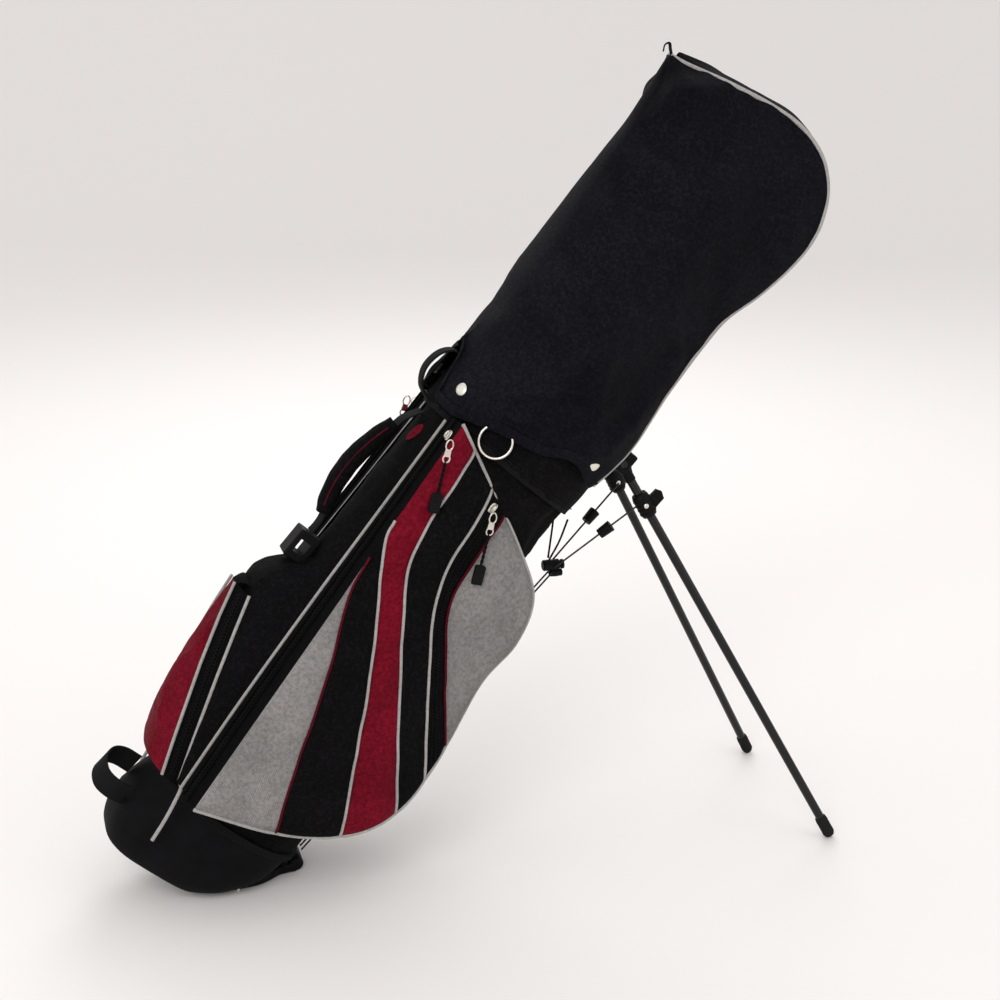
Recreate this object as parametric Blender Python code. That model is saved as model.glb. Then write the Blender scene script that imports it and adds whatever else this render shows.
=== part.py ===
"""Golf stand bag, standing on its base and its two legs, tipped forward.

Everything fixed to the bag is drawn in the bag's own frame: X runs from the spine to the leg side,
Y across the bag and Z up the bag's axis from the underside of its base. Metres throughout.
"""
import math

import bmesh
import bpy
from mathutils import Matrix, Vector

# ---------------------------------------------------------------- driving dimensions
TILT = math.radians(48.5)             # the bag's axis above the floor
BASE_LIFT = 0.057                     # height of the bag frame's zero point over the floor
FRAME_X = -0.4545                     # puts the middle of the whole stance over the origin
GAP = 0.0003                          # left between touching pieces
SIDES = 32                            # points round the bag

FORWARD = Vector((math.sin(TILT), 0.0, math.cos(TILT)))   # level and straight up, in the bag frame
UPRIGHT = Vector((-math.cos(TILT), 0.0, math.sin(TILT)))

CUP_TOP = 0.120                       # moulded base
TUBE_TOP = 0.7995                     # fabric tube
COLLAR_LOW = 0.7115                   # padded fabric collar round the tube
COLLAR_GROW = 0.008
CUFF_TOP = 0.870                      # moulded top collar
TUBE_WALL = 0.004
CUFF_WALL = 0.007
TUBE_SECTIONS = (                     # height, spine side, leg side, half width
    (CUP_TOP + GAP, -0.066, 0.170, 0.100),
    (0.300, -0.075, 0.167, 0.102),
    (0.450, -0.081, 0.162, 0.104),
    (0.700, -0.083, 0.153, 0.105),
    (TUBE_TOP, -0.083, 0.153, 0.105),
)
CUP_SECTIONS = (                      # height, spine side, leg side, half width, power of the oval
    (0.0, -0.059, 0.082, 0.058, 0.58),
    (0.005, -0.066, 0.092, 0.067, 0.58),
    (0.030, -0.074, 0.121, 0.083, 0.60),
    (0.070, -0.074, 0.152, 0.095, 0.72),
    (CUP_TOP, -0.066, 0.170, 0.100, 1.0),
)
CUP_HOLLOW = (
    (CUP_TOP, -0.061, 0.165, 0.095),
    (0.070, -0.068, 0.136, 0.088),
    (0.040, -0.066, 0.098, 0.076),
    (0.012, -0.056, 0.045, 0.054),
)

HINGE = Vector((0.160, 0.048, 0.813))  # far leg's pivot in the bag frame
FOOT_REACH = 0.957                    # foot's distance ahead of the bag frame's zero point
FOOT_SPREAD = 0.142                   # foot's distance from the middle plane
FOOT_LIFT = 0.0019                    # the slanting foot's end, so that its lower edge is on the floor
LEG_RADIUS = 0.0062
PIN_RADIUS = 0.0020
LEG_WALL = 0.0012
LEG_START = 0.012                     # where the tube begins below the pivot
FOOT_LENGTH = 0.034
FOOT_RADIUS = 0.0085
BRACKET_AT = 0.069                    # leg bracket's distance from the pivot
BRACKET_RADIUS = 0.0118
WIRE = 0.0013                         # radius of the spring wires
WIRE_ROOM = 0.0012                    # gap between the yoke and the spring wires beside it
YOKE = Vector((0.205, 0.0, 0.645))
YOKE_RADIUS = 0.0078
YOKE_LENGTH = 0.030
WIRE_FOOT = Vector((0.184, 0.0, 0.1181))  # lower end of the long wires
WIRE_APART = 0.0055                   # half the distance between the long wires

LEVER_X = 0.120                       # foot lever's pivot, from the bag frame's zero point
LEVER_Z = 0.0078
LEVER_TIP_X = 0.2185
LEVER_PLATE = 0.0130                  # height of the plate's upper side over the floor
LEVER_REAR = 0.004                    # how far the plate reaches behind its pivot
HEEL_X = 0.189                        # the raised heel that the long wires stand on
HEEL_HEIGHT = 0.0215

HOOD_SECTIONS = (                     # height, spine side, leg side, half width
    (0.763, -0.102, 0.176, 0.1220),
    (0.775, -0.103, 0.178, 0.1220),
    (0.830, -0.104, 0.182, 0.1210),
    (0.900, -0.106, 0.184, 0.1170),
    (1.000, -0.109, 0.180, 0.1080),
    (1.100, -0.112, 0.182, 0.1040),
    (1.180, -0.116, 0.186, 0.0960),
    (1.240, -0.122, 0.172, 0.0820),
    (1.280, -0.108, 0.138, 0.0560),
    (1.298, -0.072, 0.094, 0.0300),
)
HOOD_WALL = 0.003
HEM_DROP = 0.027                      # how much lower the hem is beside the spine

POCKET_LEFT = ((-0.036, 0.130), (-0.068, 0.722))
POCKET_RIM = (
    (-0.068, 0.722), (0.019, 0.681), (0.100, 0.642), (0.160, 0.602), (0.181, 0.541), (0.176, 0.469),
    (0.196, 0.352), (0.195, 0.268), (0.158, 0.2075), (0.077, 0.161), (-0.036, 0.130),
)
FACE_LOW = (0.15, 0.148)              # height and depth of the side pockets' flat face
FACE_HIGH = (0.72, 0.106)
ZIP_CENTRE = (0.331, 0.664)           # centre of the curved zip's arc
ZIP_RADIUS = 0.301
ZIP_START = math.radians(180.0)
ZIP_END = math.radians(229.0)
PUFF_RIM = ((0.165, 0.405), (0.157, 0.470), (0.160, 0.538), (0.140, 0.588), (0.088, 0.627), (0.034, 0.652))
PUFF = 0.012                          # how far the small pocket stands off the face

# height, gusset half width and depth, face half width and depth, crown
BALL_SECTIONS = (
    (0.122, 0.078, -0.048, 0.068, -0.070, -0.090),
    (0.175, 0.075, -0.066, 0.062, -0.088, -0.106),
    (0.268, 0.060, -0.094, 0.040, -0.116, -0.121),
    (0.330, 0.045, -0.110, 0.022, -0.131, -0.134),
    (0.385, 0.032, -0.124, 0.012, -0.143, -0.145),
    (0.410, 0.027, -0.098, 0.010, -0.108, -0.110),
)

SLIDER_AT = (-0.064, 0.700)           # main zips' sliders, closed
ZIP_BACK = 0.020                      # main zips' distance behind the pockets' face
PULL_LENGTH = 0.096
PULL_LEAN = math.radians(16.0)         # how far the pulls hang towards the spine
RING_RADIUS = 0.0215
RING_WIRE = 0.0018
RING_TURN = math.radians(-116.0)      # the towel ring's place round the collar
RING_HEIGHT = 0.731
RING_OUT = 0.0062
SPINE_SNAP = (math.radians(-151.0), 0.7550)   # place round the collar and height
LEG_SNAP = (math.radians(-63.0), 0.7880)
HANDLE_LINE = (
    (-0.1040, 0.664), (-0.1135, 0.630), (-0.1185, 0.595),
    (-0.1170, 0.560), (-0.1100, 0.530), (-0.1035, 0.515),
)
HANDLE_RADIUS = 0.0105
LOOP_AT = Vector((-0.0752, 0.0, 0.0730))      # middle of the base loop's mouth
LOOP_BROAD = Vector((-0.07, -0.38, 0.92)).normalized()
LOOP_PATH = (
    (0.0, 0.030), (0.022, 0.031), (0.040, 0.022), (0.047, 0.0),
    (0.040, -0.022), (0.022, -0.031), (0.0, -0.030),
)
GRAB_LOOP = (
    (-0.0935, 0.788), (-0.1080, 0.786), (-0.1200, 0.770),
    (-0.1220, 0.745), (-0.1100, 0.724), (-0.0935, 0.716),
)

COLOURS = {                           # colour, roughness, metallic
    "fabric": ((0.012, 0.011, 0.013), 0.85, 0.0),
    "hood": ((0.008, 0.009, 0.014), 0.80, 0.0),
    "red": ((0.28, 0.008, 0.022), 0.60, 0.0),
    "grey": ((0.30, 0.29, 0.28), 0.80, 0.0),
    "plastic": ((0.010, 0.010, 0.011), 0.45, 0.0),
    "tube": ((0.006, 0.006, 0.007), 0.18, 0.0),
    "steel": ((0.42, 0.41, 0.39), 0.28, 1.0),
    "wire": ((0.020, 0.020, 0.021), 0.35, 1.0),
    "rubber": ((0.010, 0.010, 0.010), 0.75, 0.0),
    "webbing": ((0.009, 0.009, 0.010), 0.90, 0.0),
    "alloy": ((0.50, 0.50, 0.51), 0.40, 1.0),
}


# ---------------------------------------------------------------- small helpers
def clear_scene():
    for thing in list(bpy.data.objects):
        bpy.data.objects.remove(thing, do_unlink=True)


def material(kind):
    found = bpy.data.materials.get(kind)
    if found:
        return found
    colour, roughness, metallic = COLOURS[kind]
    made = bpy.data.materials.new(kind)
    made.use_nodes = True
    shader = made.node_tree.nodes["Principled BSDF"]
    shader.inputs["Base Color"].default_value = (*colour, 1.0)
    shader.inputs["Roughness"].default_value = roughness
    shader.inputs["Metallic"].default_value = metallic
    return made


def place(name, data, kind, parent):
    thing = bpy.data.objects.new(name, data)
    bpy.context.collection.objects.link(thing)
    data.materials.append(material(kind))
    thing.parent = parent
    return thing


def skin(name, rings, kind, parent, ring_shaped=False):
    """A solid through rings of points: its two ends are capped, or joined to each other."""
    mesh = bmesh_from_rings(rings, ring_shaped)
    data = bpy.data.meshes.new(name)
    mesh.to_mesh(data)
    mesh.free()
    data.shade_smooth()
    data.set_sharp_from_angle(angle=math.radians(35.0))
    return place(name, data, kind, parent)


def bmesh_from_rings(rings, ring_shaped):
    mesh = bmesh.new()
    rows = [[mesh.verts.new(point) for point in ring] for ring in rings]
    pairs = list(zip(rows, rows[1:]))
    if ring_shaped:
        pairs.append((rows[-1], rows[0]))
    else:
        mesh.faces.new(rows[0])
        mesh.faces.new(rows[-1])
    for low, high in pairs:
        for i in range(len(low)):
            j = (i + 1) % len(low)
            mesh.faces.new((low[i], low[j], high[j], high[i]))
    bmesh.ops.recalc_face_normals(mesh, faces=mesh.faces)
    return mesh


def oval(height, back, front, half, power=1.0, grow=0.0, sides=SIDES):
    """One level ring round the bag; a power below 1 squares its corners."""
    centre = (back + front) / 2
    reach = (front - back) / 2 + grow
    wide = half + grow
    ring = []
    for i in range(sides):
        turn = 2 * math.pi * i / sides
        ahead, aside = math.cos(turn), math.sin(turn)
        p = centre + reach * math.copysign(abs(ahead) ** power, ahead)
        ring.append((p, wide * math.copysign(abs(aside) ** power, aside), height))
    return ring


def curve_through(points, steps):
    """Points on a smooth curve through the given ones."""
    known = [Vector(point) for point in points]
    known = [2 * known[0] - known[1]] + known + [2 * known[-1] - known[-2]]
    found = []
    for a, b, c, d in zip(known, known[1:], known[2:], known[3:]):
        for k in range(steps):
            t = k / steps
            bend = (2 * a - 5 * b + 4 * c - d) * t * t + (3 * b - a - 3 * c + d) * t * t * t
            found.append((2 * b + (c - a) * t + bend) / 2)
    found.append(known[-2])
    return found


def rod(name, points, radius, kind, parent, detail=2):
    """A round bar along a path."""
    data = bpy.data.curves.new(name, "CURVE")
    data.dimensions = "3D"
    data.bevel_depth = radius
    data.bevel_resolution = detail
    data.use_fill_caps = True
    path = data.splines.new("POLY")
    path.points.add(len(points) - 1)
    for knot, point in zip(path.points, points):
        knot.co = (*point, 1.0)
    return place(name, data, kind, parent)


def turned_rings(centre, axis, profile, sides):
    turn = Vector(axis).to_track_quat("Z", "Y").to_matrix()
    rings = []
    for along, radius in profile:
        ring = []
        for i in range(sides):
            angle = 2 * math.pi * i / sides
            spoke = Vector((radius * math.cos(angle), radius * math.sin(angle), along))
            ring.append(Vector(centre) + turn @ spoke)
        rings.append(ring)
    return rings


def turned(name, centre, axis, profile, kind, parent, sides=16):
    """A solid of revolution: profile holds (distance along the axis, radius)."""
    return skin(name, turned_rings(centre, axis, profile, sides), kind, parent)


def block(name, low, high, kind, parent, bevel=0.0015):
    """A box between two corners with rounded edges."""
    lower, upper = Vector(low), Vector(high)
    mesh = bmesh.new()
    bmesh.ops.create_cube(mesh, size=1.0)
    for vert in mesh.verts:
        vert.co = (lower + upper) / 2 + Vector(c * w for c, w in zip(vert.co, upper - lower))
    data = bpy.data.meshes.new(name)
    mesh.to_mesh(data)
    mesh.free()
    thing = place(name, data, kind, parent)
    if bevel:
        rounding = thing.modifiers.new("rounding", "BEVEL")
        rounding.width = bevel
        rounding.segments = 2
    return thing


def strap(name, path, width, thickness, kind, parent, steps=4):
    """Flat webbing along a path in the bag's middle plane."""
    return belt(name, [(p, 0.0, s) for p, s in path], (0.0, 1.0, 0.0), width, thickness, kind, parent, steps)


def belt(name, path, broad, width, thickness, kind, parent, steps=4):
    """Flat webbing along any path, lying broad along one direction."""
    points = curve_through(path, steps)
    rings = []
    for i, point in enumerate(points):
        ahead = points[min(i + 1, len(points) - 1)] - points[max(i - 1, 0)]
        side = Vector(broad).cross(ahead).normalized() * thickness / 2
        across = Vector(broad).normalized() * width / 2
        upper, lower = point + across, point - across
        rings.append([upper + side, upper - side, lower - side, lower + side])
    return skin(name, rings, kind, parent)


def cutter(thing):
    thing.hide_render = True
    thing.display_type = "WIRE"
    return thing


def cut(thing, tool):
    change = thing.modifiers.new("cut_" + tool.name, "BOOLEAN")
    change.operation = "DIFFERENCE"
    change.object = tool


def eased(value, low, high):
    t = min(max((value - low) / (high - low), 0.0), 1.0)
    return t * t * (3 - 2 * t)


def face_depth(height):
    """Distance of the side pockets' flat face from the middle plane."""
    (low, deep), (high, shallow) = FACE_LOW, FACE_HIGH
    return deep + (shallow - deep) * (height - low) / (high - low)


def face_outward(side):
    (low, deep), (high, shallow) = FACE_LOW, FACE_HIGH
    return Vector((0.0, side, (deep - shallow) / (high - low))).normalized()


def floor_point(x, y, z):
    """A point of the floor frame, given in the bag frame."""
    lift = z - BASE_LIFT
    return FORWARD * x + UPRIGHT * lift + Vector((0.0, y, 0.0))


# ---------------------------------------------------------------- base and tube
def make_base(bag):
    rings = [oval(*section) for section in CUP_SECTIONS] + [oval(*section) for section in CUP_HOLLOW]
    cup = skin("base_cup", rings, "plastic", bag)
    low, high = LEVER_PLATE + 0.0020, HEEL_HEIGHT + 0.0020
    step = HEEL_X - 0.004
    corners = ((0.111, -0.05), (0.30, -0.05), (0.30, high), (step, high), (step, low), (0.111, low))
    recess = [[floor_point(x, y, z) for x, z in corners] for y in (-0.0545, 0.0545)]
    cut(cup, cutter(skin("lever_recess", recess, "plastic", bag)))
    under = ((-0.3, -0.05), (0.5, -0.05), (0.5, 0.0), (-0.3, 0.0))
    level = [[floor_point(x, y, z) for x, z in under] for y in (-0.3, 0.3)]
    cut(cup, cutter(skin("floor_cut", level, "plastic", bag)))
    axle = floor_point(LEVER_X, 0.0, LEVER_Z)
    hole = turned("pin_hole", axle, (0, 1, 0), ((-0.0622, 0.0023), (0.0622, 0.0023)), "plastic", bag)
    cut(cup, cutter(hole))
    turned("foot_lever_pin", axle, (0, 1, 0), ((-0.062, 0.002), (0.062, 0.002)), "steel", bag)


def make_foot_lever(bag):
    """The plate that lies on the floor and pushes the long wires up as the bag tips."""
    edge = (
        (LEVER_X - LEVER_REAR, 0.050), (0.150, 0.046), (0.172, 0.034),
        (0.184, 0.026), (LEVER_TIP_X, 0.023),
    )
    side = curve_through([(x, y, 0.0) for x, y in edge], 3)
    outline = [(v.x, v.y) for v in side] + [(v.x, -v.y) for v in reversed(side)]
    rings = [[floor_point(x, y, z) for x, y in outline] for z in (0.0010, LEVER_PLATE)]
    lever = skin("foot_lever", rings, "plastic", bag)
    heel = block("lever_heel", (0, 0, 0), (1, 1, 1), "plastic", bag, 0.0)
    heel.data.transform(box_matrix(HEEL_X, LEVER_TIP_X + 0.0004, -0.0215, 0.0215, 0.0110, HEEL_HEIGHT))
    join = lever.modifiers.new("heel", "BOOLEAN")
    join.operation = "UNION"
    join.object = cutter(heel)
    axle = floor_point(LEVER_X, 0.0, LEVER_Z)
    hole = turned("lever_hole", axle, (0, 1, 0), ((-0.07, 0.0023), (0.07, 0.0023)), "plastic", bag)
    cut(lever, cutter(hole))
    return lever


def box_matrix(x0, x1, y0, y1, z0, z1):
    """Carries the unit cube onto a box of the floor frame."""
    origin = floor_point(x0, y0, z0)
    columns = (floor_point(x1, y0, z0), floor_point(x0, y1, z0), floor_point(x0, y0, z1))
    sides = Matrix([column - origin for column in columns]).transposed()
    return Matrix.Translation(origin) @ sides.to_4x4()


def make_tube(bag):
    outer = [oval(*section) for section in TUBE_SECTIONS]
    inner = [oval(*section, grow=-TUBE_WALL) for section in reversed(TUBE_SECTIONS)]
    skin("bag_tube", outer + inner, "fabric", bag, ring_shaped=True)
    low = TUBE_TOP + GAP
    section = TUBE_SECTIONS[-1][1:]
    levels = ((low, 0.0), (low + 0.01, 0.002), (CUFF_TOP - 0.008, 0.002), (CUFF_TOP, -0.001))
    outside = [oval(height, *section, grow=grow) for height, grow in levels]
    levels = ((CUFF_TOP, -CUFF_WALL + 0.001), (CUFF_TOP - 0.008, -CUFF_WALL), (low, -CUFF_WALL))
    inside = [oval(height, *section, grow=grow) for height, grow in levels]
    skin("top_cuff", outside + inside, "plastic", bag, ring_shaped=True)
    make_divider(bag)
    for name, side in (("stay_rod_near", -1), ("stay_rod_far", 1)):
        ends = [(0.048, side * 0.0895, 0.1225), (0.036, side * 0.0960, TUBE_TOP - 0.001)]
        rod(name, ends, 0.0035, "alloy", bag, 2)


def make_divider(bag):
    """A cross that parts the mouth into four wells."""
    middle = (TUBE_SECTIONS[-1][1] + TUBE_SECTIONS[-1][2]) / 2
    long_half = (TUBE_SECTIONS[-1][2] - TUBE_SECTIONS[-1][1]) / 2 - CUFF_WALL - 0.001
    short_half = TUBE_SECTIONS[-1][3] - CUFF_WALL - 0.001
    low, high, half = 0.832, 0.862, 0.004
    bar_from, bar_to = (middle - long_half, -half, low), (middle + long_half, half, high)
    cross_from, cross_to = (middle - half, -short_half, low), (middle + half, short_half, high)
    bar = block("club_divider", bar_from, bar_to, "plastic", bag, 0)
    cross = block("cross_bar", cross_from, cross_to, "plastic", bag, 0)
    join = bar.modifiers.new("cross", "BOOLEAN")
    join.operation = "UNION"
    join.object = cutter(cross)


# ---------------------------------------------------------------- pockets
def tube_cutter(bag):
    """The room that the tube and its collar take."""
    rings = [oval(*section, grow=2 * GAP) for section in TUBE_SECTIONS[:-1]]
    under = COLLAR_LOW - 2 * GAP
    top = TUBE_SECTIONS[-1][1:]
    rings += [oval(under, *top, grow=2 * GAP), oval(under + GAP, *top, grow=COLLAR_GROW + 2 * GAP)]
    rings.append(oval(TUBE_TOP, *top, grow=COLLAR_GROW + 2 * GAP))
    return cutter(skin("tube_room", rings, "fabric", bag))


def side_pocket(name, side, room, bag):
    rim = curve_through([(p, 0.0, s) for p, s in POCKET_RIM], 4)
    rim = [(v.x, v.z) for v in rim[:-1]] + [POCKET_LEFT[0]]
    left = [tuple(Vector(POCKET_LEFT[0]).lerp(Vector(POCKET_LEFT[1]), t)) for t in (0.25, 0.5, 0.75)]
    outline = rim + left
    centre = Vector((0.07, 0.40))
    rings = []
    for inset, below in ((0.0, None), (0.0, 0.012), (0.004, 0.004), (0.012, 0.0)):
        ring = []
        for p, s in outline:
            point = Vector((p, s))
            point += (centre - point).normalized() * inset
            inner = 0.046 + 0.020 * eased(p, 0.08, 0.13)
            depth = inner if below is None else face_depth(point.y) - below
            ring.append((point.x, side * depth, point.y))
        rings.append(ring)
    pocket = skin(name, rings, "fabric", bag)
    cut(pocket, room)
    return pocket


def puff_outline():
    arc = []
    for k in range(13):
        turn = ZIP_START + (ZIP_END - ZIP_START) * k / 12
        reach = ZIP_RADIUS - 0.007
        arc.append((ZIP_CENTRE[0] + reach * math.cos(turn), ZIP_CENTRE[1] + reach * math.sin(turn)))
    rim = curve_through([(p, 0.0, s) for p, s in PUFF_RIM], 3)
    return arc[1:] + [(v.x, v.z) for v in rim]


def valuables_pocket(bag):
    outline = puff_outline()
    centre = sum((Vector(point) for point in outline), Vector((0.0, 0.0))) / len(outline)
    rings = []
    for inset, out in ((0.0, GAP), (0.0, 0.5 * PUFF), (0.006, 0.85 * PUFF), (0.016, PUFF)):
        points = [Vector(point) + (centre - Vector(point)).normalized() * inset for point in outline]
        rings.append([(v.x, -face_depth(v.y) - out, v.y) for v in points])
    skin("valuables_pocket", rings, "grey", bag)


def ball_pocket(room, bag):
    rings = []
    low, high = Vector(POCKET_LEFT[0]), Vector(POCKET_LEFT[1])
    for height, gusset, gusset_at, face, face_at, crown in BALL_SECTIONS:
        side_pocket_at = low.lerp(high, (height - low.y) / (high.y - low.y)).x
        half = [
            (crown, 0.0), ((crown * 3 + face_at) / 4, 0.5 * face), (face_at, face), (gusset_at, gusset),
            (side_pocket_at - 0.001, gusset + 0.002),
        ]
        mirrored = [(p, -y) for p, y in reversed(half[1:])]
        rings.append([(p, y, height) for p, y in half + mirrored])
    pocket = skin("ball_pocket", rings, "red", bag)
    cut(pocket, room)


# ---------------------------------------------------------------- zip sliders and pulls
def slider(name, at, along, outward, bag):
    """A zip slider: a small saddle lying on the zip."""
    across = Vector(along).cross(Vector(outward)).normalized()
    turn = Matrix([across, Vector(outward).normalized(), Vector(along).normalized()]).transposed()
    body = ((0.0, 0.0048), (0.004, 0.0048), (0.010, 0.0038), (0.0135, 0.0026))
    rings = []
    for height, half in body:
        corners = ((-half, 0.0004), (half, 0.0004), (half, 0.0044), (-half, 0.0044))
        rings.append([Vector(at) + turn @ Vector((x, y, height - 0.007)) for x, y in corners])
    return skin(name, rings, "steel", bag)


def pull(name, at, side, bag):
    """A tab, its cord and the moulded end, hanging down over a side pocket's face."""
    out = face_outward(side)
    straight = (out * UPRIGHT.dot(out) - UPRIGHT).normalized()
    down = Matrix.Rotation(side * PULL_LEAN, 3, out) @ straight
    across = down.cross(out)
    tab, cord = 0.026, PULL_LENGTH - 0.024
    stations = (
        (0.0, 0.0030, 0.0012), (0.004, 0.0044, 0.0012), (tab, 0.0050, 0.0012), (tab + 0.0015, 0.0014, 0.0014),
        (cord, 0.0014, 0.0014), (cord + 0.002, 0.0068, 0.0032), (PULL_LENGTH - 0.003, 0.0084, 0.0032),
        (PULL_LENGTH, 0.0074, 0.0026),
    )
    rings = []
    for along, wide, thick in stations:
        middle = Vector(at) + down * along
        corners = ((-wide, -thick), (wide, -thick), (wide, thick), (-wide, thick))
        rings.append([middle + across * x + out * y for x, y in corners])
    return skin(name, rings, "steel", bag)


def make_zips(bag):
    (low_p, low_s), (high_p, high_s) = POCKET_LEFT
    p, s = SLIDER_AT
    edge = low_p + (high_p - low_p) * (s - low_s) / (high_s - low_s)
    for name, side in (("near", -1), ("far", 1)):
        widening = side * (face_depth(low_s) - face_depth(high_s))
        down = Vector((low_p - high_p, widening, low_s - high_s))
        outward = Vector((-1.0, 0.0, down.x / down.z))
        at = Vector((edge - GAP, side * (face_depth(s) - ZIP_BACK), s))
        slider("main_zip_slider_" + name, at, -down, outward, bag)
        hang = Vector((edge - 0.006, side * (face_depth(s) + 0.006), s))
        pull("main_zip_pull_" + name, hang, side, bag)
    turn = ZIP_START
    across_zip = ZIP_CENTRE[0] + ZIP_RADIUS * math.cos(turn)
    along_zip = ZIP_CENTRE[1] + ZIP_RADIUS * math.sin(turn)
    at = Vector((across_zip, 0.0, along_zip))
    at.y = -face_depth(at.z) - 0.0006
    outward = face_outward(-1)
    slider("valuables_zip_slider", at, Vector((-1.0, 0.0, 0.0)).cross(outward), outward, bag)
    hang = Vector((at.x, at.y - PUFF - 0.006, at.z - 0.002))
    pull("valuables_zip_pull", hang, -1, bag)


# ---------------------------------------------------------------- collar, ring, handle and straps
def collar_frame(turn, height, out):
    """A point off the collar's surface, its outward direction, and straight down along it."""
    _, back, front, half = TUBE_SECTIONS[-1]
    reach = (front - back) / 2 + COLLAR_GROW
    wide = half + COLLAR_GROW
    surface = Vector(((back + front) / 2 + reach * math.cos(turn), wide * math.sin(turn), height))
    outward = Vector((math.cos(turn) / reach, math.sin(turn) / wide, 0.0)).normalized()
    down = -UPRIGHT
    hang = (down - outward * down.dot(outward)).normalized()
    return surface + outward * out, outward, hang


def make_collar(bag):
    section = TUBE_SECTIONS[-1][1:]
    full_from, full_to = COLLAR_LOW + 0.006, TUBE_TOP - 0.004
    levels = ((COLLAR_LOW, 0.003), (full_from, COLLAR_GROW), (full_to, COLLAR_GROW), (TUBE_TOP, 0.005))
    outside = [oval(height, *section, grow=grow) for height, grow in levels]
    inside = [oval(height, *section, grow=2 * GAP) for height in (TUBE_TOP, COLLAR_LOW)]
    skin("collar_band", outside + inside, "fabric", bag, ring_shaped=True)


def ring_pivot():
    middle, outward, hang = collar_frame(RING_TURN, RING_HEIGHT, RING_OUT)
    return middle - hang * RING_RADIUS, outward, hang


def ring_points(radius, wire):
    middle, outward, hang = collar_frame(RING_TURN, RING_HEIGHT, RING_OUT)
    across = hang.cross(outward)
    steps = 20
    rings = []
    for i in range(steps):
        turn = 2 * math.pi * i / steps
        spoke = hang * math.cos(turn) + across * math.sin(turn)
        ring = []
        for k in range(6):
            round_wire = math.pi * k / 3
            reach = radius + wire * math.cos(round_wire)
            ring.append(middle + spoke * reach + outward * wire * math.sin(round_wire))
        rings.append(ring)
    return rings


def make_towel_ring(bag):
    skin("towel_ring", ring_points(RING_RADIUS, RING_WIRE), "steel", bag, ring_shaped=True)
    pivot, outward, hang = ring_pivot()
    across = hang.cross(outward)
    sleeve = ((-0.0062, 0.0054), (0.0062, 0.0054))
    tab = turned("towel_ring_tab", pivot, across, sleeve, "webbing", bag, 14)
    corners = ((-0.0010, -0.0054), (-0.0010, -0.0032), (-0.0095, -0.0038), (-0.0095, -0.0058))
    rings = []
    for side in (-0.0060, 0.0060):
        rings.append([pivot + hang * h + outward * o + across * side for h, o in corners])
    flap = cutter(skin("tab_flap", rings, "webbing", bag))
    join = tab.modifiers.new("flap", "BOOLEAN")
    join.operation = "UNION"
    join.object = flap
    cut(tab, cutter(turned("tab_bore", pivot, across, ((-0.02, 0.0034), (0.02, 0.0034)), "webbing", bag, 14)))


def make_handle(bag):
    line = curve_through([(p, 0.0, s) for p, s in HANDLE_LINE], 3)
    rod("handle_grip", line, HANDLE_RADIUS, "fabric", bag, 3)
    for name, line in (
        ("handle_strap_upper", ((-0.1015, 0.6690), (-0.0950, 0.684), (-0.0862, 0.6995))),
        ("handle_strap_lower", ((-0.1015, 0.5105), (-0.1000, 0.496), (-0.1010, 0.4835))),
    ):
        strap(name, line, 0.025, 0.0025, "webbing", bag)
    buckle = block("strap_buckle", (-0.1160, -0.016, 0.441), (-0.0838, 0.016, 0.4825), "plastic", bag, 0.002)
    window = block("buckle_window", (-0.1085, -0.03, 0.452), (-0.0925, 0.03, 0.471), "plastic", bag, 0)
    cut(buckle, cutter(window))
    aside = LOOP_BROAD.cross(Vector((-1.0, 0.0, 0.0))).normalized()
    away = aside.cross(LOOP_BROAD)
    loop = [LOOP_AT + away * out + aside * over for out, over in LOOP_PATH]
    belt("base_loop", loop, LOOP_BROAD, 0.036, 0.0030, "webbing", bag, 3)
    strap("grab_loop", GRAB_LOOP, 0.020, 0.0030, "webbing", bag, 3)
    at, outward, hang = collar_frame(math.radians(-166.0), 0.742, 2 * GAP)
    profile = ((0.0, 0.0125), (0.0030, 0.0125), (0.0055, 0.0095))
    turned("strap_anchor", at, outward, profile, "plastic", bag, 18)


# ---------------------------------------------------------------- stand
def leg_frame(side):
    """The pivot, the open leg's direction, and the axis that folds it against the bag."""
    pivot = Vector((HINGE.x, side * HINGE.y, HINGE.z))
    foot = floor_point(FOOT_REACH, side * FOOT_SPREAD, FOOT_LIFT)
    open_way = (foot - pivot).normalized()
    axis = open_way.cross(Vector((0.0, 0.0, -1.0))).normalized()
    return pivot, open_way, axis, (foot - pivot).length


def make_stand_head(bag):
    head = block("stand_head", (0.135, -0.0615, 0.8005 + GAP), (0.1725, 0.0615, 0.832), "plastic", bag, 0.003)
    _, back, front, half = TUBE_SECTIONS[-1]
    room = [oval(height, back, front, half, grow=0.0028) for height in (0.78, 0.90)]
    cut(head, cutter(skin("cuff_room", room, "plastic", bag)))
    for name, side in (("near", -1), ("far", 1)):
        pivot, open_way, axis, _ = leg_frame(side)
        ahead = Vector((open_way.x, open_way.y, 0.0)).normalized()
        corners = ((-0.0090, -0.05), (0.05, -0.05), (0.05, 0.0086), (-0.0090, 0.0086))
        slot = [pivot + ahead * x + Vector((0, 0, z)) for x, z in corners]
        rings = [[corner + axis * w for corner in slot] for w in (-0.0070, 0.0070)]
        cut(head, cutter(skin("leg_slot_" + name, rings, "plastic", bag)))
        hole = ((-0.0128, PIN_RADIUS + GAP), (0.0128, PIN_RADIUS + GAP))
        cut(head, cutter(turned("axle_hole_" + name, pivot, axis, hole, "plastic", bag, 12)))
        pin = ((-0.0125, PIN_RADIUS), (0.0125, PIN_RADIUS))
        turned("leg_pin_" + name, pivot, axis, pin, "steel", bag, 12)


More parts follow.
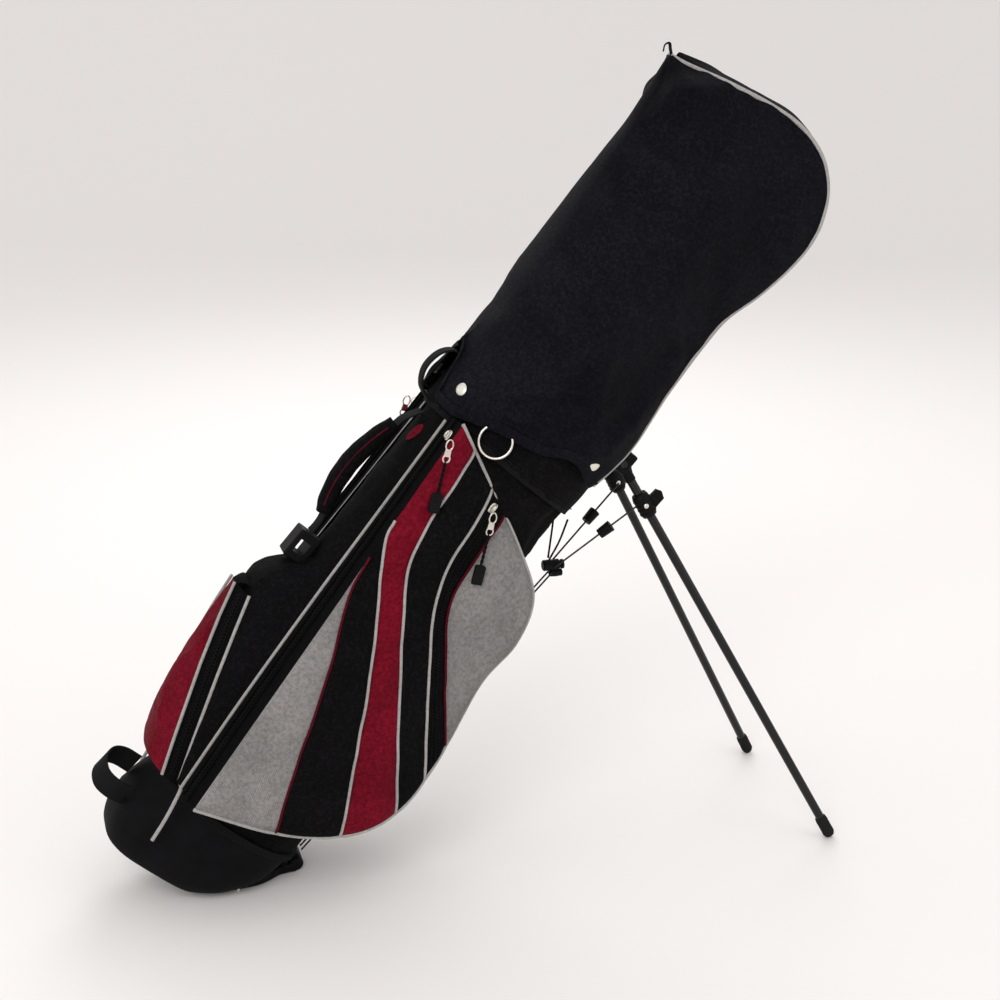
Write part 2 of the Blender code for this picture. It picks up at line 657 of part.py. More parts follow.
def make_legs(bag):
    for name, side in (("near", -1), ("far", 1)):
        pivot, open_way, axis, reach = leg_frame(side)
        inner = LEG_RADIUS - LEG_WALL
        end = reach - FOOT_LENGTH + 0.012
        profile = (
            (-0.0068, 0.0034), (-0.0046, 0.0056), (-0.0015, LEG_RADIUS),
            (end, LEG_RADIUS), (end, inner), (0.020, inner),
        )
        leg = turned("leg_" + name, pivot, open_way, profile, "tube", bag, 16)
        hole = ((-0.02, PIN_RADIUS + GAP), (0.02, PIN_RADIUS + GAP))
        cut(leg, cutter(turned("leg_hole_" + name, pivot, axis, hole, "plastic", bag, 12)))
        start = reach - FOOT_LENGTH
        cover = LEG_RADIUS + GAP
        tip = (
            (end + GAP, 0.0010), (end + GAP, cover), (start, cover), (start, FOOT_RADIUS - 0.001),
            (start + 0.006, FOOT_RADIUS), (reach - 0.006, FOOT_RADIUS), (reach - 0.0018, FOOT_RADIUS - 0.002),
            (reach, 0.0038),
        )
        turned("foot_tip_" + name, pivot, open_way, tip, "rubber", bag, 16)
        make_bracket(name, side, pivot, open_way, axis, bag)


def make_bracket(name, side, pivot, open_way, axis, bag):
    """A clamp round the leg that the spring wire pushes on, with its thumb ear."""
    middle = pivot + open_way * BRACKET_AT
    bore = LEG_RADIUS + GAP
    profile = (
        (-0.017, bore), (-0.017, 0.0100), (-0.012, BRACKET_RADIUS),
        (0.012, BRACKET_RADIUS), (0.017, 0.0098), (0.017, bore),
    )
    rings = turned_rings(middle, open_way, profile, 16)
    clamp = skin("leg_bracket_" + name, rings, "plastic", bag, ring_shaped=True)
    out = axis.cross(open_way).normalized()
    if out.z < 0:
        out = -out
    ear = ((-0.006, 0.009), (-0.010, 0.024), (-0.004, 0.029), (0.006, 0.027), (0.012, 0.009))
    plates = [[middle + open_way * x + out * r + axis * w for x, r in ear] for w in (-0.0035, 0.0035)]
    join = clamp.modifiers.new("ear", "BOOLEAN")
    join.operation = "UNION"
    join.object = cutter(skin("ear_" + name, plates, "plastic", bag))


def upper_wire_ends(side):
    """A spring wire's end beside the yoke, and its end on the axis of its leg bracket, beside the leg."""
    pivot, open_way, axis, _ = leg_frame(side)
    low = YOKE + Vector((0.0, side * (YOKE_RADIUS + WIRE + WIRE_ROOM), 0.0))
    high = pivot + open_way * BRACKET_AT - axis * side * (BRACKET_RADIUS + WIRE + GAP)
    return low, high, (high - low).normalized()


def make_wires(bag):
    yoke = (
        (-YOKE_LENGTH / 2, YOKE_RADIUS - 0.0015), (-YOKE_LENGTH / 2 + 0.0015, YOKE_RADIUS),
        (0.008, YOKE_RADIUS), (0.0085, YOKE_RADIUS - 0.0022),
        (0.0110, YOKE_RADIUS - 0.0022), (0.0115, YOKE_RADIUS - 0.0008),
        (YOKE_LENGTH / 2, YOKE_RADIUS - 0.0012),
    )
    turned("wire_yoke", YOKE, FORWARD, yoke, "plastic", bag, 14)
    for name, side in (("near", -1), ("far", 1)):
        low, high, way = upper_wire_ends(side)
        rod("spring_wire_" + name, [low, high], WIRE, "wire", bag, 2)
        clip = low.lerp(high, 0.58)
        bore = WIRE + GAP
        profile = ((-0.010, bore), (-0.010, 0.0070), (0.010, 0.0080), (0.010, bore))
        rings = turned_rings(clip, way, profile, 12)
        skin("wire_clip_" + name, rings, "plastic", bag, ring_shaped=True)
        apart = Vector((0.0, side * WIRE_APART, 0.0))
        top = YOKE - UPRIGHT * (YOKE_RADIUS + 0.0018) - FORWARD * 0.003 + apart
        foot = WIRE_FOOT + apart
        rod("long_wire_" + name, [top, foot], WIRE, "wire", bag, 2)
    for name, side, anchor in (("near", -1, (0.1560, -0.046, 0.7080)), ("far", 1, (0.1530, 0.046, 0.7350))):
        start = YOKE + UPRIGHT * (YOKE_RADIUS + 0.0018) - FORWARD * 0.006 + Vector((0.0, side * 0.003, 0.0))
        end = Vector(anchor)
        sag = start.lerp(end, 0.5) + Vector((0.002, side * 0.001, -0.001))
        rod("elastic_cord_" + name, curve_through([start, sag, end], 4), 0.0014, "webbing", bag, 2)


# ---------------------------------------------------------------- hood
def lowered(ring):
    """The hem dips beside the spine."""
    found = []
    for i, (p, y, s) in enumerate(ring):
        towards_spine = -math.cos(2 * math.pi * i / len(ring))
        found.append((p, y, s - HEM_DROP * eased(towards_spine, 0.5, 0.8)))
    return found


def make_hood(bag):
    outside = [oval(*section) for section in HOOD_SECTIONS]
    outside[0] = lowered(outside[0])
    inside = [oval(height - HOOD_WALL * (height > 1.29), back, front, half, grow=-HOOD_WALL)
              for height, back, front, half in reversed(HOOD_SECTIONS)]
    inside[-1] = lowered(inside[-1])
    hood = skin("rain_hood", inside + outside, "hood", bag)
    spine = block("spine_notch", (-0.30, -0.046, 0.60), (-0.050, 0.046, 0.803), "hood", bag, 0)
    front = block("leg_notch", (0.1300, -0.070, 0.60), (0.40, 0.070, 0.866), "hood", bag, 0)
    cut(hood, cutter(spine))
    cut(hood, cutter(front))
    for row, (turn, height) in (("spine", SPINE_SNAP), ("leg", LEG_SNAP)):
        for name, side in (("near", 1), ("far", -1)):
            label = row + "_" + name
            at, outward, _ = collar_frame(side * turn, height, GAP)
            turned("snap_stud_" + label, at, outward, ((0.0, 0.0055), (0.0022, 0.0050)), "steel", bag, 12)
            cap, outward = hood_frame(side * turn, height)
            profile = ((0.0, 0.0088), (0.0012, 0.0088), (0.0026, 0.0060))
            turned("snap_cap_" + label, cap + outward * 0.0011, outward, profile, "steel", bag, 16)


def hood_frame(turn, height):
    """A point on the hood's skin and its outward direction."""
    for low, high in zip(HOOD_SECTIONS, HOOD_SECTIONS[1:]):
        if low[0] <= height <= high[0]:
            break
    else:
        low, high = HOOD_SECTIONS[0], HOOD_SECTIONS[1]
    part = (height - low[0]) / (high[0] - low[0])
    back, front, half = (a + (b - a) * max(part, 0.0) for a, b in zip(low[1:], high[1:]))
    reach = (front - back) / 2
    at = Vector(((back + front) / 2 + reach * math.cos(turn), half * math.sin(turn), height))
    return at, Vector((math.cos(turn) / reach, math.sin(turn) / half, 0.0)).normalized()


def build():
    clear_scene()
    bag = bpy.data.objects.new("bag_frame", None)
    bpy.context.collection.objects.link(bag)
    bag.location = (FRAME_X, 0.0, BASE_LIFT)
    bag.rotation_euler = (0.0, math.pi / 2 - TILT, 0.0)
    make_base(bag)
    make_foot_lever(bag)
    make_tube(bag)
    make_collar(bag)
    room = tube_cutter(bag)
    side_pocket("side_pocket_near", -1, room, bag)
    side_pocket("side_pocket_far", 1, room, bag)
    valuables_pocket(bag)
    ball_pocket(room, bag)
    make_zips(bag)
    make_towel_ring(bag)
    make_handle(bag)
    make_stand_head(bag)
    make_legs(bag)
    make_wires(bag)
    make_hood(bag)


build()
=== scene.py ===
"""Looks of the golf stand bag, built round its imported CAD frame.

Soft parts are drawn in the bag's own frame, as the CAD is: p runs from the spine to the leg side,
y across the bag and s up its axis. Metres throughout, and the near side is the one with negative y.
"""

import math

import bmesh
import bpy
from mathutils import Matrix, Vector, noise
from mathutils.bvhtree import BVHTree


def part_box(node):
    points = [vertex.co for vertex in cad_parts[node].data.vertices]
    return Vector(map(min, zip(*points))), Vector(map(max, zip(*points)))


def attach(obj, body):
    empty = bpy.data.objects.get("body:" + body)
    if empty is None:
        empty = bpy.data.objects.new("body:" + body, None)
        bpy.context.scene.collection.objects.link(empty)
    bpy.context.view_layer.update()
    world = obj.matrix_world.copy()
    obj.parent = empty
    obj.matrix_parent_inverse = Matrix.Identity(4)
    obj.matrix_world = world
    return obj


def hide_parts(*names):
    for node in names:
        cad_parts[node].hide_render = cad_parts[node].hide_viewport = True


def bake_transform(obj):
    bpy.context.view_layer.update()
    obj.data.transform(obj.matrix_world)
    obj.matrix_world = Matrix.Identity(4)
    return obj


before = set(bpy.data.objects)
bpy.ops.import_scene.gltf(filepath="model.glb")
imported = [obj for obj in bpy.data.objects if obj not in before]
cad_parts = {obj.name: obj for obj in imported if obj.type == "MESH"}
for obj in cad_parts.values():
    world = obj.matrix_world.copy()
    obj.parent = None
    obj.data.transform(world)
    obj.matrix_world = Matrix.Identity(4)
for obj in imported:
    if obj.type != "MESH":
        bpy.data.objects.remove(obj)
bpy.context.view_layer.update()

# ---------------------------------------------------------------- driving dimensions
TILT = math.radians(48.5)
BAG_X, BAG_Z = -0.4545, 0.057        # where the bag's axis meets its base, in the world
BAG = Matrix.Translation((BAG_X, 0.0, BAG_Z)) @ Matrix.Rotation(math.pi / 2 - TILT, 4, "Y")
UP = Vector((-math.cos(TILT), 0.0, math.sin(TILT)))       # straight up, in the bag's frame
AHEAD = Vector((math.sin(TILT), 0.0, math.cos(TILT)))
NEAR, FAR = -1, 1
ACROSS = Vector((0.0, 1.0, 0.0))
BACK = Vector((-1.0, 0.0, 0.0))
PAIR = (("near", NEAR), ("far", FAR))

TUBE = ((0.120, -0.066, 0.170, 0.100), (0.300, -0.075, 0.167, 0.102), (0.450, -0.081, 0.162, 0.104),
        (0.700, -0.083, 0.153, 0.105), (0.7995, -0.083, 0.153, 0.105))
CUP = ((-0.004, -0.050, 0.070, 0.048), (0.0, -0.058, 0.081, 0.058), (0.006, -0.066, 0.092, 0.068),
       (0.030, -0.074, 0.121, 0.083), (0.070, -0.074, 0.152, 0.095), (0.120, -0.066, 0.170, 0.100))
CUP_POWER = ((0.0, 0.58), (0.030, 0.60), (0.070, 0.72), (0.120, 1.0))
COLLAR_LOW, COLLAR_TOP, COLLAR_GROW = 0.7115, 0.7995, 0.008
FACE_LOW, FACE_HIGH = (0.15, 0.148), (0.72, 0.106)        # height and depth of the side pockets' face
POCKET_LEFT = ((-0.068, 0.722), (-0.036, 0.130))
POCKET_RIM = ((-0.068, 0.722), (0.019, 0.681), (0.100, 0.642), (0.160, 0.602), (0.181, 0.541), (0.176, 0.469),
              (0.196, 0.352), (0.195, 0.268), (0.158, 0.2075), (0.077, 0.161), (-0.036, 0.130))
# seams of the side pockets' face, from their upper end down
DARK_SEAM = ((-0.0568, 0.518), (-0.0480, 0.462), (-0.0120, 0.378), (0.0190, 0.294), (0.0420, 0.231),
             (0.0740, 0.1605))
RED_LEFT = ((-0.0600, 0.574), (-0.0560, 0.549), (-0.0370, 0.514), (-0.0010, 0.460), (0.0510, 0.375),
            (0.0890, 0.308), (0.1500, 0.2020))
RED_RIGHT = ((-0.0330, 0.706), (-0.0300, 0.650), (-0.0240, 0.590), (-0.0090, 0.534), (0.0270, 0.479),
             (0.0650, 0.429), (0.1190, 0.358), (0.1950, 0.266))
ZIP_UPPER = ((0.0180, 0.6815), (0.0250, 0.636), (0.0280, 0.587), (0.0370, 0.547), (0.0530, 0.512),
             (0.0830, 0.469), (0.1250, 0.414), (0.1970, 0.325))
ZIP_LOWER = ((0.0540, 0.6650), (0.0555, 0.610), (0.0560, 0.569), (0.0620, 0.539), (0.0840, 0.501),
             (0.1400, 0.434), (0.1900, 0.378))
MAIN_PIPING = ((-0.0705, 0.050, 0.716), (-0.0650, 0.058, 0.560), (-0.0610, 0.066, 0.430),
               (-0.0560, 0.081, 0.270), (-0.0500, 0.098, 0.132))
BALL = ((0.124, 0.078, -0.048, 0.068, -0.070, -0.092), (0.175, 0.075, -0.066, 0.062, -0.088, -0.110),
        (0.268, 0.060, -0.094, 0.040, -0.116, -0.127), (0.330, 0.045, -0.110, 0.022, -0.131, -0.1350),
        (0.374, 0.034, -0.1205, 0.011, -0.1395, -0.1420))
SHOULDER = ((0.368, -0.1195, 0.034), (0.385, -0.1225, 0.032), (0.400, -0.1235, 0.030),
            (0.418, -0.1150, 0.029),
            (0.433, -0.1010, 0.028), (0.447, -0.0860, 0.026), (0.460, -0.0800, 0.025))
HOOD_SPINE = ((-0.109, 0.793), (-0.106, 0.830), (-0.101, 0.870), (-0.109, 0.925), (-0.115, 1.018),
              (-0.120, 1.100), (-0.121, 1.177), (-0.126, 1.230), (-0.132, 1.254))
HOOD_FRONT = ((0.143, 0.870), (0.139, 0.946), (0.137, 1.002), (0.139, 1.047), (0.154, 1.096), (0.165, 1.150),
              (0.167, 1.193), (0.158, 1.232), (0.138, 1.266), (0.103, 1.291), (0.055, 1.299), (0.000, 1.290),
              (-0.060, 1.273), (-0.110, 1.259), (-0.132, 1.254))
HANDLE_LINE = ((-0.1040, 0.664), (-0.1135, 0.630), (-0.1185, 0.595), (-0.1170, 0.560), (-0.1100, 0.530),
               (-0.1035, 0.515))
LOOP_AT = Vector((-0.0752, 0.0, 0.0730))
LOOP_BROAD = Vector((-0.07, -0.38, 0.92)).normalized()
LOOP_PATH = ((0.0, 0.030), (0.022, 0.031), (0.040, 0.022), (0.047, 0.0), (0.040, -0.022), (0.022, -0.031),
             (0.0, -0.030))
GRAB_LOOP = ((-0.0915, 0.788), (-0.1080, 0.786), (-0.1200, 0.770), (-0.1220, 0.745), (-0.1100, 0.724),
             (-0.0915, 0.716))
RING_TURN, RING_HEIGHT, RING_OUT, RING_RADIUS, RING_WIRE = math.radians(-116.0), 0.731, 0.0062, 0.0215, 0.0018
HINGE = Vector((0.160, 0.048, 0.813))
FOOT = (0.957, 0.142, 0.0019)
BRACKET_AT = 0.069
YOKE = Vector((0.205, 0.0, 0.645))
YOKE_RADIUS = 0.0078
PULL_LENGTH, PULL_LEAN = 0.096, math.radians(16.0)


# ---------------------------------------------------------------- points and curves
def bent(points, steps=6):
    """Points on a smooth curve through the given ones."""
    known = [Vector(point) for point in points]
    known = [2 * known[0] - known[1]] + known + [2 * known[-1] - known[-2]]
    found = []
    for a, b, c, d in zip(known, known[1:], known[2:], known[3:]):
        for k in range(steps):
            t = k / steps
            curve = (2 * a - 5 * b + 4 * c - d) * t * t + (3 * b - a - 3 * c + d) * t * t * t
            found.append((2 * b + (c - a) * t + curve) / 2)
    found.append(known[-2])
    return found


def even(points, count):
    """The same line cut into steps of one length."""
    points = [Vector(point) for point in points]
    reached = [0.0]
    for a, b in zip(points, points[1:]):
        reached.append(reached[-1] + (b - a).length)
    found, k = [], 0
    for i in range(count):
        want = reached[-1] * i / (count - 1)
        while k < len(points) - 2 and reached[k + 1] < want:
            k += 1
        span = reached[k + 1] - reached[k]
        found.append(points[k].lerp(points[k + 1], (want - reached[k]) / span if span else 0.0))
    return found


def length_of(points):
    return sum((Vector(b) - Vector(a)).length for a, b in zip(points, points[1:]))


def nearest(points, point):
    return min(range(len(points)), key=lambda i: (points[i] - point).length)


def stretch(line, start, end):
    """The part of a line between the points nearest to two given ones, ending exactly on them."""
    first, last = nearest(line, start), nearest(line, end)
    part = line[first:last + 1] if first <= last else line[last:first + 1][::-1]
    return [start] + part[1:-1] + [end]


def eased(value, low, high):
    t = min(max((value - low) / (high - low), 0.0), 1.0)
    return t * t * (3 - 2 * t)


def from_table(table, value):
    """Values read between the rows of a table, by its first column."""
    value = min(max(value, table[0][0]), table[-1][0])
    for low, high in zip(table, table[1:]):
        if value <= high[0]:
            t = (value - low[0]) / (high[0] - low[0])
            return [a + (b - a) * t for a, b in zip(low[1:], high[1:])]
    return list(table[-1][1:])


def face_depth(height):
    (low, deep), (high, shallow) = FACE_LOW, FACE_HIGH
    return deep + (shallow - deep) * (height - low) / (high - low)


def face_outward(side):
    (low, deep), (high, shallow) = FACE_LOW, FACE_HIGH
    return Vector((0.0, side, (deep - shallow) / (high - low))).normalized()


def floor_point(x, y, z):
    return AHEAD * x + UP * (z - BAG_Z) + Vector((0.0, y, 0.0))


def ripple(point, size, depth, seed=0.0):
    """Soft unevenness of cloth, the same in every run."""
    return depth * noise.noise(Vector(point) / size + Vector((seed, 3.1 * seed, 0.0)))


# ---------------------------------------------------------------- materials
class Nodes:
    """Short names for building one material's nodes."""

    def __init__(self, name, roughness, metallic=0.0, specular=0.5):
        self.material = bpy.data.materials.new(name)
        self.material.use_nodes = True
        self.tree = self.material.node_tree
        self.shader = self.tree.nodes["Principled BSDF"]
        self.shader.inputs["Metallic"].default_value = metallic
        self.shader.inputs["Roughness"].default_value = roughness
        self.shader.inputs["Specular IOR Level"].default_value = specular

    def add(self, kind, **settings):
        node = self.tree.nodes.new("ShaderNode" + kind)
        for key, value in settings.items():
            setattr(node, key, value)
        return node

    def link(self, source, target):
        self.tree.links.new(source, target)

    def maths(self, operation, a, b=None):
        node = self.add("Math", operation=operation)
        for socket, value in zip(node.inputs, (a, b)):
            if value is None:
                continue
            if isinstance(value, (int, float)):
                socket.default_value = value
            else:
                self.link(value, socket)
        return node.outputs[0]

    def noise(self, vector, scale, detail=3.0, roughness=0.55):
        node = self.add("TexNoise")
        node.inputs["Scale"].default_value = scale
        node.inputs["Detail"].default_value = detail
        node.inputs["Roughness"].default_value = roughness
        self.link(vector, node.inputs["Vector"])
        return node.outputs["Fac"]

    def ramp(self, value, stops):
        node = self.add("ValToRGB")
        while len(node.color_ramp.elements) < len(stops):
            node.color_ramp.elements.new(0.5)
        for element, (place, colour) in zip(node.color_ramp.elements, stops):
            element.position = place
            element.color = (*colour, 1.0)
        self.link(value, node.inputs["Fac"])
        return node.outputs["Color"]

    def mix(self, factor, a, b, blend="MIX"):
        node = self.add("Mix", data_type="RGBA", blend_type=blend)
        self.feed(node.inputs[0], factor)
        self.feed(node.inputs[6], a)
        self.feed(node.inputs[7], b)
        return node.outputs[2]

    def feed(self, socket, value):
        if isinstance(value, (int, float)):
            socket.default_value = value
        elif isinstance(value, tuple):
            socket.default_value = (*value, 1.0)
        else:
            self.link(value, socket)

    def bump(self, height, distance, strength=1.0):
        node = self.add("Bump")
        node.inputs["Distance"].default_value = distance
        node.inputs["Strength"].default_value = strength
        self.link(height, node.inputs["Height"])
        self.link(node.outputs["Normal"], self.shader.inputs["Normal"])


def scaled(colour, factor):
    return tuple(channel * factor for channel in colour)


def woven(name, colour, pitch, roughness=0.82, depth=0.00025, weave_shade_and_highlight=0.5, stain=0.25, crinkle=0.0006,
          twill=0.0):
    """Plain or twill weave of a given thread pitch, crinkled, with worn and dusty patches; its threads are
    painted darker in the weave's hollows (painted shade) and lighter on their crests (painted highlight).
    """
    n = Nodes(name, roughness, specular=0.06)
    place = n.add("TexCoord")
    uv = n.add("Mapping")
    uv.inputs["Rotation"].default_value = (0.0, 0.0, twill)
    n.link(place.outputs["UV"], uv.inputs["Vector"])
    split = n.add("SeparateXYZ")
    n.link(uv.outputs["Vector"], split.inputs["Vector"])
    warp = n.maths("ABSOLUTE", n.maths("SINE", n.maths("MULTIPLY", split.outputs["X"], math.pi / pitch)))
    weft = n.maths("ABSOLUTE", n.maths("SINE", n.maths("MULTIPLY", split.outputs["Y"], math.pi / pitch)))
    over = n.add("TexChecker")
    over.inputs["Scale"].default_value = 1.0 / pitch
    n.link(uv.outputs["Vector"], over.inputs["Vector"])
    height = n.maths("ADD", n.maths("MULTIPLY", warp, over.outputs["Fac"]),
                     n.maths("MULTIPLY", weft, n.maths("SUBTRACT", 1.0, over.outputs["Fac"])))
    patches = n.noise(place.outputs["Object"], 7.0, 5.0, 0.62)
    mottled = n.noise(place.outputs["Object"], 210.0, 5.0, 0.75)
    # painted shade and highlight: thread colour darker where the weave is low and lighter on the thread
    # crests
    thread = n.ramp(height, ((0.0, scaled(colour, 1.0 - weave_shade_and_highlight)), (0.75, colour),
                             (1.0, scaled(colour, 1.0 + 0.5 * weave_shade_and_highlight))))
    dusty = tuple(channel + (0.32 - channel) * 0.05 for channel in colour)
    worn = n.mix(n.maths("MULTIPLY", n.ramp(mottled, ((0.50, (0, 0, 0)), (0.78, (1, 1, 1)))), stain), thread,
                 dusty)
    low = 1.0 - stain
    shade = n.ramp(patches, ((0.30, (low, low, low)), (0.62, (1, 1, 1))))
    grain = n.ramp(mottled, ((0.36, (low, low, low)), (0.60, (1, 1, 1))))
    shaded = n.mix(1.0, n.mix(1.0, worn, shade, "MULTIPLY"), grain, "MULTIPLY")
    n.link(shaded, n.shader.inputs["Base Color"])
    n.link(n.maths("ADD", n.maths("MULTIPLY", patches, 0.12), roughness - 0.06), n.shader.inputs["Roughness"])
    creases = n.noise(place.outputs["Object"], 85.0, 5.0, 0.6)
    weave = n.maths("MULTIPLY", n.maths("ADD", height, n.maths("MULTIPLY", mottled, 0.8)), depth)
    n.bump(n.maths("ADD", weave, n.maths("MULTIPLY", creases, crinkle * 2)), 1.0)
    return n.material


def ribbed(name, colour, pitch=0.0016, roughness=0.8):
    """Webbing, with its ribs across the strap; the threads are painted darker between the ribs (painted
    shade) and lighter on them (painted highlight).
    """
    n = Nodes(name, roughness, specular=0.08)
    place = n.add("TexCoord")
    split = n.add("SeparateXYZ")
    n.link(place.outputs["UV"], split.inputs["Vector"])
    along = n.maths("ABSOLUTE", n.maths("SINE", n.maths("MULTIPLY", split.outputs["Y"], math.pi / pitch)))
    across = n.maths("ABSOLUTE", n.maths("SINE", n.maths("MULTIPLY", split.outputs["X"],
                                                         math.pi / (0.7 * pitch))))
    height = n.maths("ADD", along, n.maths("MULTIPLY", across, 0.5))
    patches = n.noise(place.outputs["Object"], 40.0, 4.0)
    # painted shade and highlight: colour darker in the grooves between ribs and lighter on the rib crests
    thread = n.ramp(height, ((0.2, scaled(colour, 0.45)), (1.2, scaled(colour, 1.3))))
    n.link(n.mix(n.maths("MULTIPLY", patches, 0.35), thread, scaled(colour, 1.8)),
           n.shader.inputs["Base Color"])
    n.bump(height, 0.0003)
    return n.material


def plain(name, colour, roughness, metallic=0.0, grain=900.0, depth=0.00008, vary=0.18, coat=0.0, wear=None):
    """Moulded plastic, rubber, paint or metal: fine grain, handling marks and rubbed patches."""
    n = Nodes(name, roughness, metallic, 0.5 if metallic else 0.07)
    place = n.add("TexCoord")
    fine = n.noise(place.outputs["Object"], grain, 2.0)
    patches = n.noise(place.outputs["Object"], 30.0, 5.0, 0.65)
    tone = n.ramp(patches, ((0.3, scaled(colour, 1.0 - vary)), (0.7, scaled(colour, 1.0 + vary))))
    if wear:
        scuffs = n.ramp(n.noise(place.outputs["Object"], 160.0, 6.0, 0.75),
                        ((0.60, (0, 0, 0)), (0.72, (1, 1, 1))))
        tone = n.mix(n.maths("MULTIPLY", scuffs, 0.35), tone, wear)
    n.link(tone, n.shader.inputs["Base Color"])
    n.link(n.maths("ADD", n.maths("MULTIPLY", patches, 0.2), roughness - 0.1), n.shader.inputs["Roughness"])
    n.shader.inputs["Coat Weight"].default_value = coat
    n.shader.inputs["Coat Roughness"].default_value = 0.12
    n.bump(fine, depth)
    return n.material


def make_materials():
    return {
        "black": woven("black_weave", (0.0050, 0.0044, 0.0054), 0.0011, 0.86, stain=0.45),
        "band": woven("zip_tape_weave", (0.0034, 0.0030, 0.0036), 0.0007, 0.88, stain=0.2, crinkle=0.0003),
        "hood": woven("hood_twill", (0.0080, 0.0082, 0.0128), 0.0009, 0.74, 0.0003, 0.5, 0.50, 0.0008,
                      math.radians(32)),
        "red": woven("crimson_weave", (0.215, 0.0030, 0.0170), 0.0011, 0.66, stain=0.42),
        "grey": woven("grey_coarse_weave", (0.335, 0.318, 0.312), 0.0015, 0.72, 0.0005, 0.35, 0.36, 0.0018),
        "webbing": ribbed("black_webbing", (0.0060, 0.0058, 0.0063)),
        "binding": ribbed("edge_binding", (0.0052, 0.0048, 0.0054), 0.0010),
        "silver": woven("silver_piping", (0.42, 0.405, 0.39), 0.0009, 0.55, 0.0001, 0.25, 0.25, 0.0),
        "dark_red": woven("dark_red_piping", (0.090, 0.0025, 0.010), 0.0009, 0.6, 0.0001, 0.3, 0.25, 0.0),
        "thread": woven("stitch_thread", (0.013, 0.012, 0.014), 0.0005, 0.7, 0.0001, 0.3, 0.2, 0.0),
        "plastic": plain("moulded_plastic", (0.0050, 0.0048, 0.0052), 0.46, grain=1400.0,
                         wear=(0.03, 0.029, 0.028)),
        "base": plain("base_moulding", (0.0034, 0.0030, 0.0038), 0.70, grain=520.0, depth=0.00022, vary=0.4,
                      wear=(0.014, 0.013, 0.013)),
        "tube": plain("anodised_tube", (0.0040, 0.0040, 0.0044), 0.22, 0.0, grain=400.0, depth=0.00002,
                      coat=0.45,
                      wear=(0.02, 0.02, 0.02)),
        "nickel": plain("nickel_plate", (0.66, 0.62, 0.56), 0.27, 1.0, grain=500.0, depth=0.00003,
                        wear=(0.30, 0.27, 0.23)),
        "snap": plain("snap_plate", (0.74, 0.71, 0.64), 0.42, 0.65, grain=500.0, depth=0.00003,
                      wear=(0.45, 0.41, 0.35)),
        "wire": plain("black_wire", (0.014, 0.014, 0.015), 0.40, 0.6, grain=600.0, depth=0.00002),
        "rubber": plain("foot_rubber", (0.0120, 0.0118, 0.0115), 0.74, grain=500.0, depth=0.00012,
                        wear=(0.07, 0.065, 0.06)),
        "cord": woven("braided_cord", (0.0065, 0.0062, 0.0070), 0.0008, 0.8, 0.0002, 0.5, 0.2, 0.0,
                      math.radians(40)),
        "alloy": plain("stay_alloy", (0.55, 0.55, 0.56), 0.38, 1.0),
    }


MATERIALS = make_materials()


# ---------------------------------------------------------------- mesh making
def piece(name, data, look, body="bag", stands_for=()):
    thing = bpy.data.objects.new(name, data)
    bpy.context.scene.collection.objects.link(thing)
    if not data.materials:
        data.materials.append(MATERIALS[look])
    if body:
        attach(thing, body)
    if stands_for:
        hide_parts(*stands_for)
    return thing


def sheet_mesh(name, rows, closed=False, caps=False):
    """A mesh through rows of points of the bag's frame, placed in the world, with UVs in metres."""
    count = len(rows[0])
    last = count if closed else count - 1
    middle = rows[len(rows) // 2]
    across = [0.0]
    for i in range(last):
        across.append(across[-1] + (Vector(middle[(i + 1) % count]) - Vector(middle[i])).length)
    down = [0.0]
    for low, high in zip(rows, rows[1:]):
        down.append(down[-1] + sum((Vector(a) - Vector(b)).length for a, b in zip(low, high)) / count)
    verts = [BAG @ Vector(point) for row in rows for point in row]
    faces, coords = [], []
    for r in range(len(rows) - 1):
        for i in range(last):
            j = (i + 1) % count
            faces.append((r * count + i, r * count + j, (r + 1) * count + j, (r + 1) * count + i))
            coords += [(across[i], down[r]), (across[i + 1], down[r]), (across[i + 1], down[r + 1]),
                       (across[i], down[r + 1])]
    if caps:
        for first in (list(range(count))[::-1], [(len(rows) - 1) * count + i for i in range(count)]):
            faces.append(tuple(first))
            coords += [((verts[k] - verts[first[0]]).x, (verts[k] - verts[first[0]]).z) for k in first]
    data = bpy.data.meshes.new(name)
    data.from_pydata(verts, [], faces)
    layer = data.uv_layers.new(name="UVMap")
    for loop, coord in zip(layer.data, coords):
        loop.uv = coord
    data.update()
    data.shade_smooth()
    if caps:
        data.set_sharp_from_angle(angle=math.radians(40.0))
    return data


def lofted(name, rows, look, body="bag", stands_for=(), closed=False, caps=False):
    return piece(name, sheet_mesh(name, rows, closed, caps), look, body, stands_for)


def carried(path, closed=False, upward=ACROSS):
    """A steady frame at each point of a path: its direction, its side and its upper side."""
    frames = []
    count = len(path)
    for i, point in enumerate(path):
        if closed:
            ahead = path[(i + 1) % count] - path[i - 1]
        else:
            ahead = path[min(i + 1, count - 1)] - path[max(i - 1, 0)]
        ahead.normalize()
        side = upward - ahead * upward.dot(ahead)
        side = side.normalized() if side.length > 1e-4 else ahead.orthogonal().normalized()
        upward = side
        frames.append((point, ahead, side, ahead.cross(side)))
    return frames


def swept(name, path, outline, closed=False, upward=ACROSS, taper=None):
    """An outline (along side, along upper side) carried along a path."""
    rows = []
    for i, (point, _, side, upper) in enumerate(carried([Vector(q) for q in path], closed, upward)):
        size = taper(i / (len(path) - 1)) if taper else 1.0
        rows.append([point + side * a * size + upper * b * size for a, b in outline])
    if closed:
        rows.append(rows[0])
    return sheet_mesh(name, rows, closed=True, caps=not closed)


def circle(radius, sides=10, flat=1.0):
    return [(radius * math.cos(2 * math.pi * k / sides), radius * flat * math.sin(2 * math.pi * k / sides))
            for k in range(sides)]


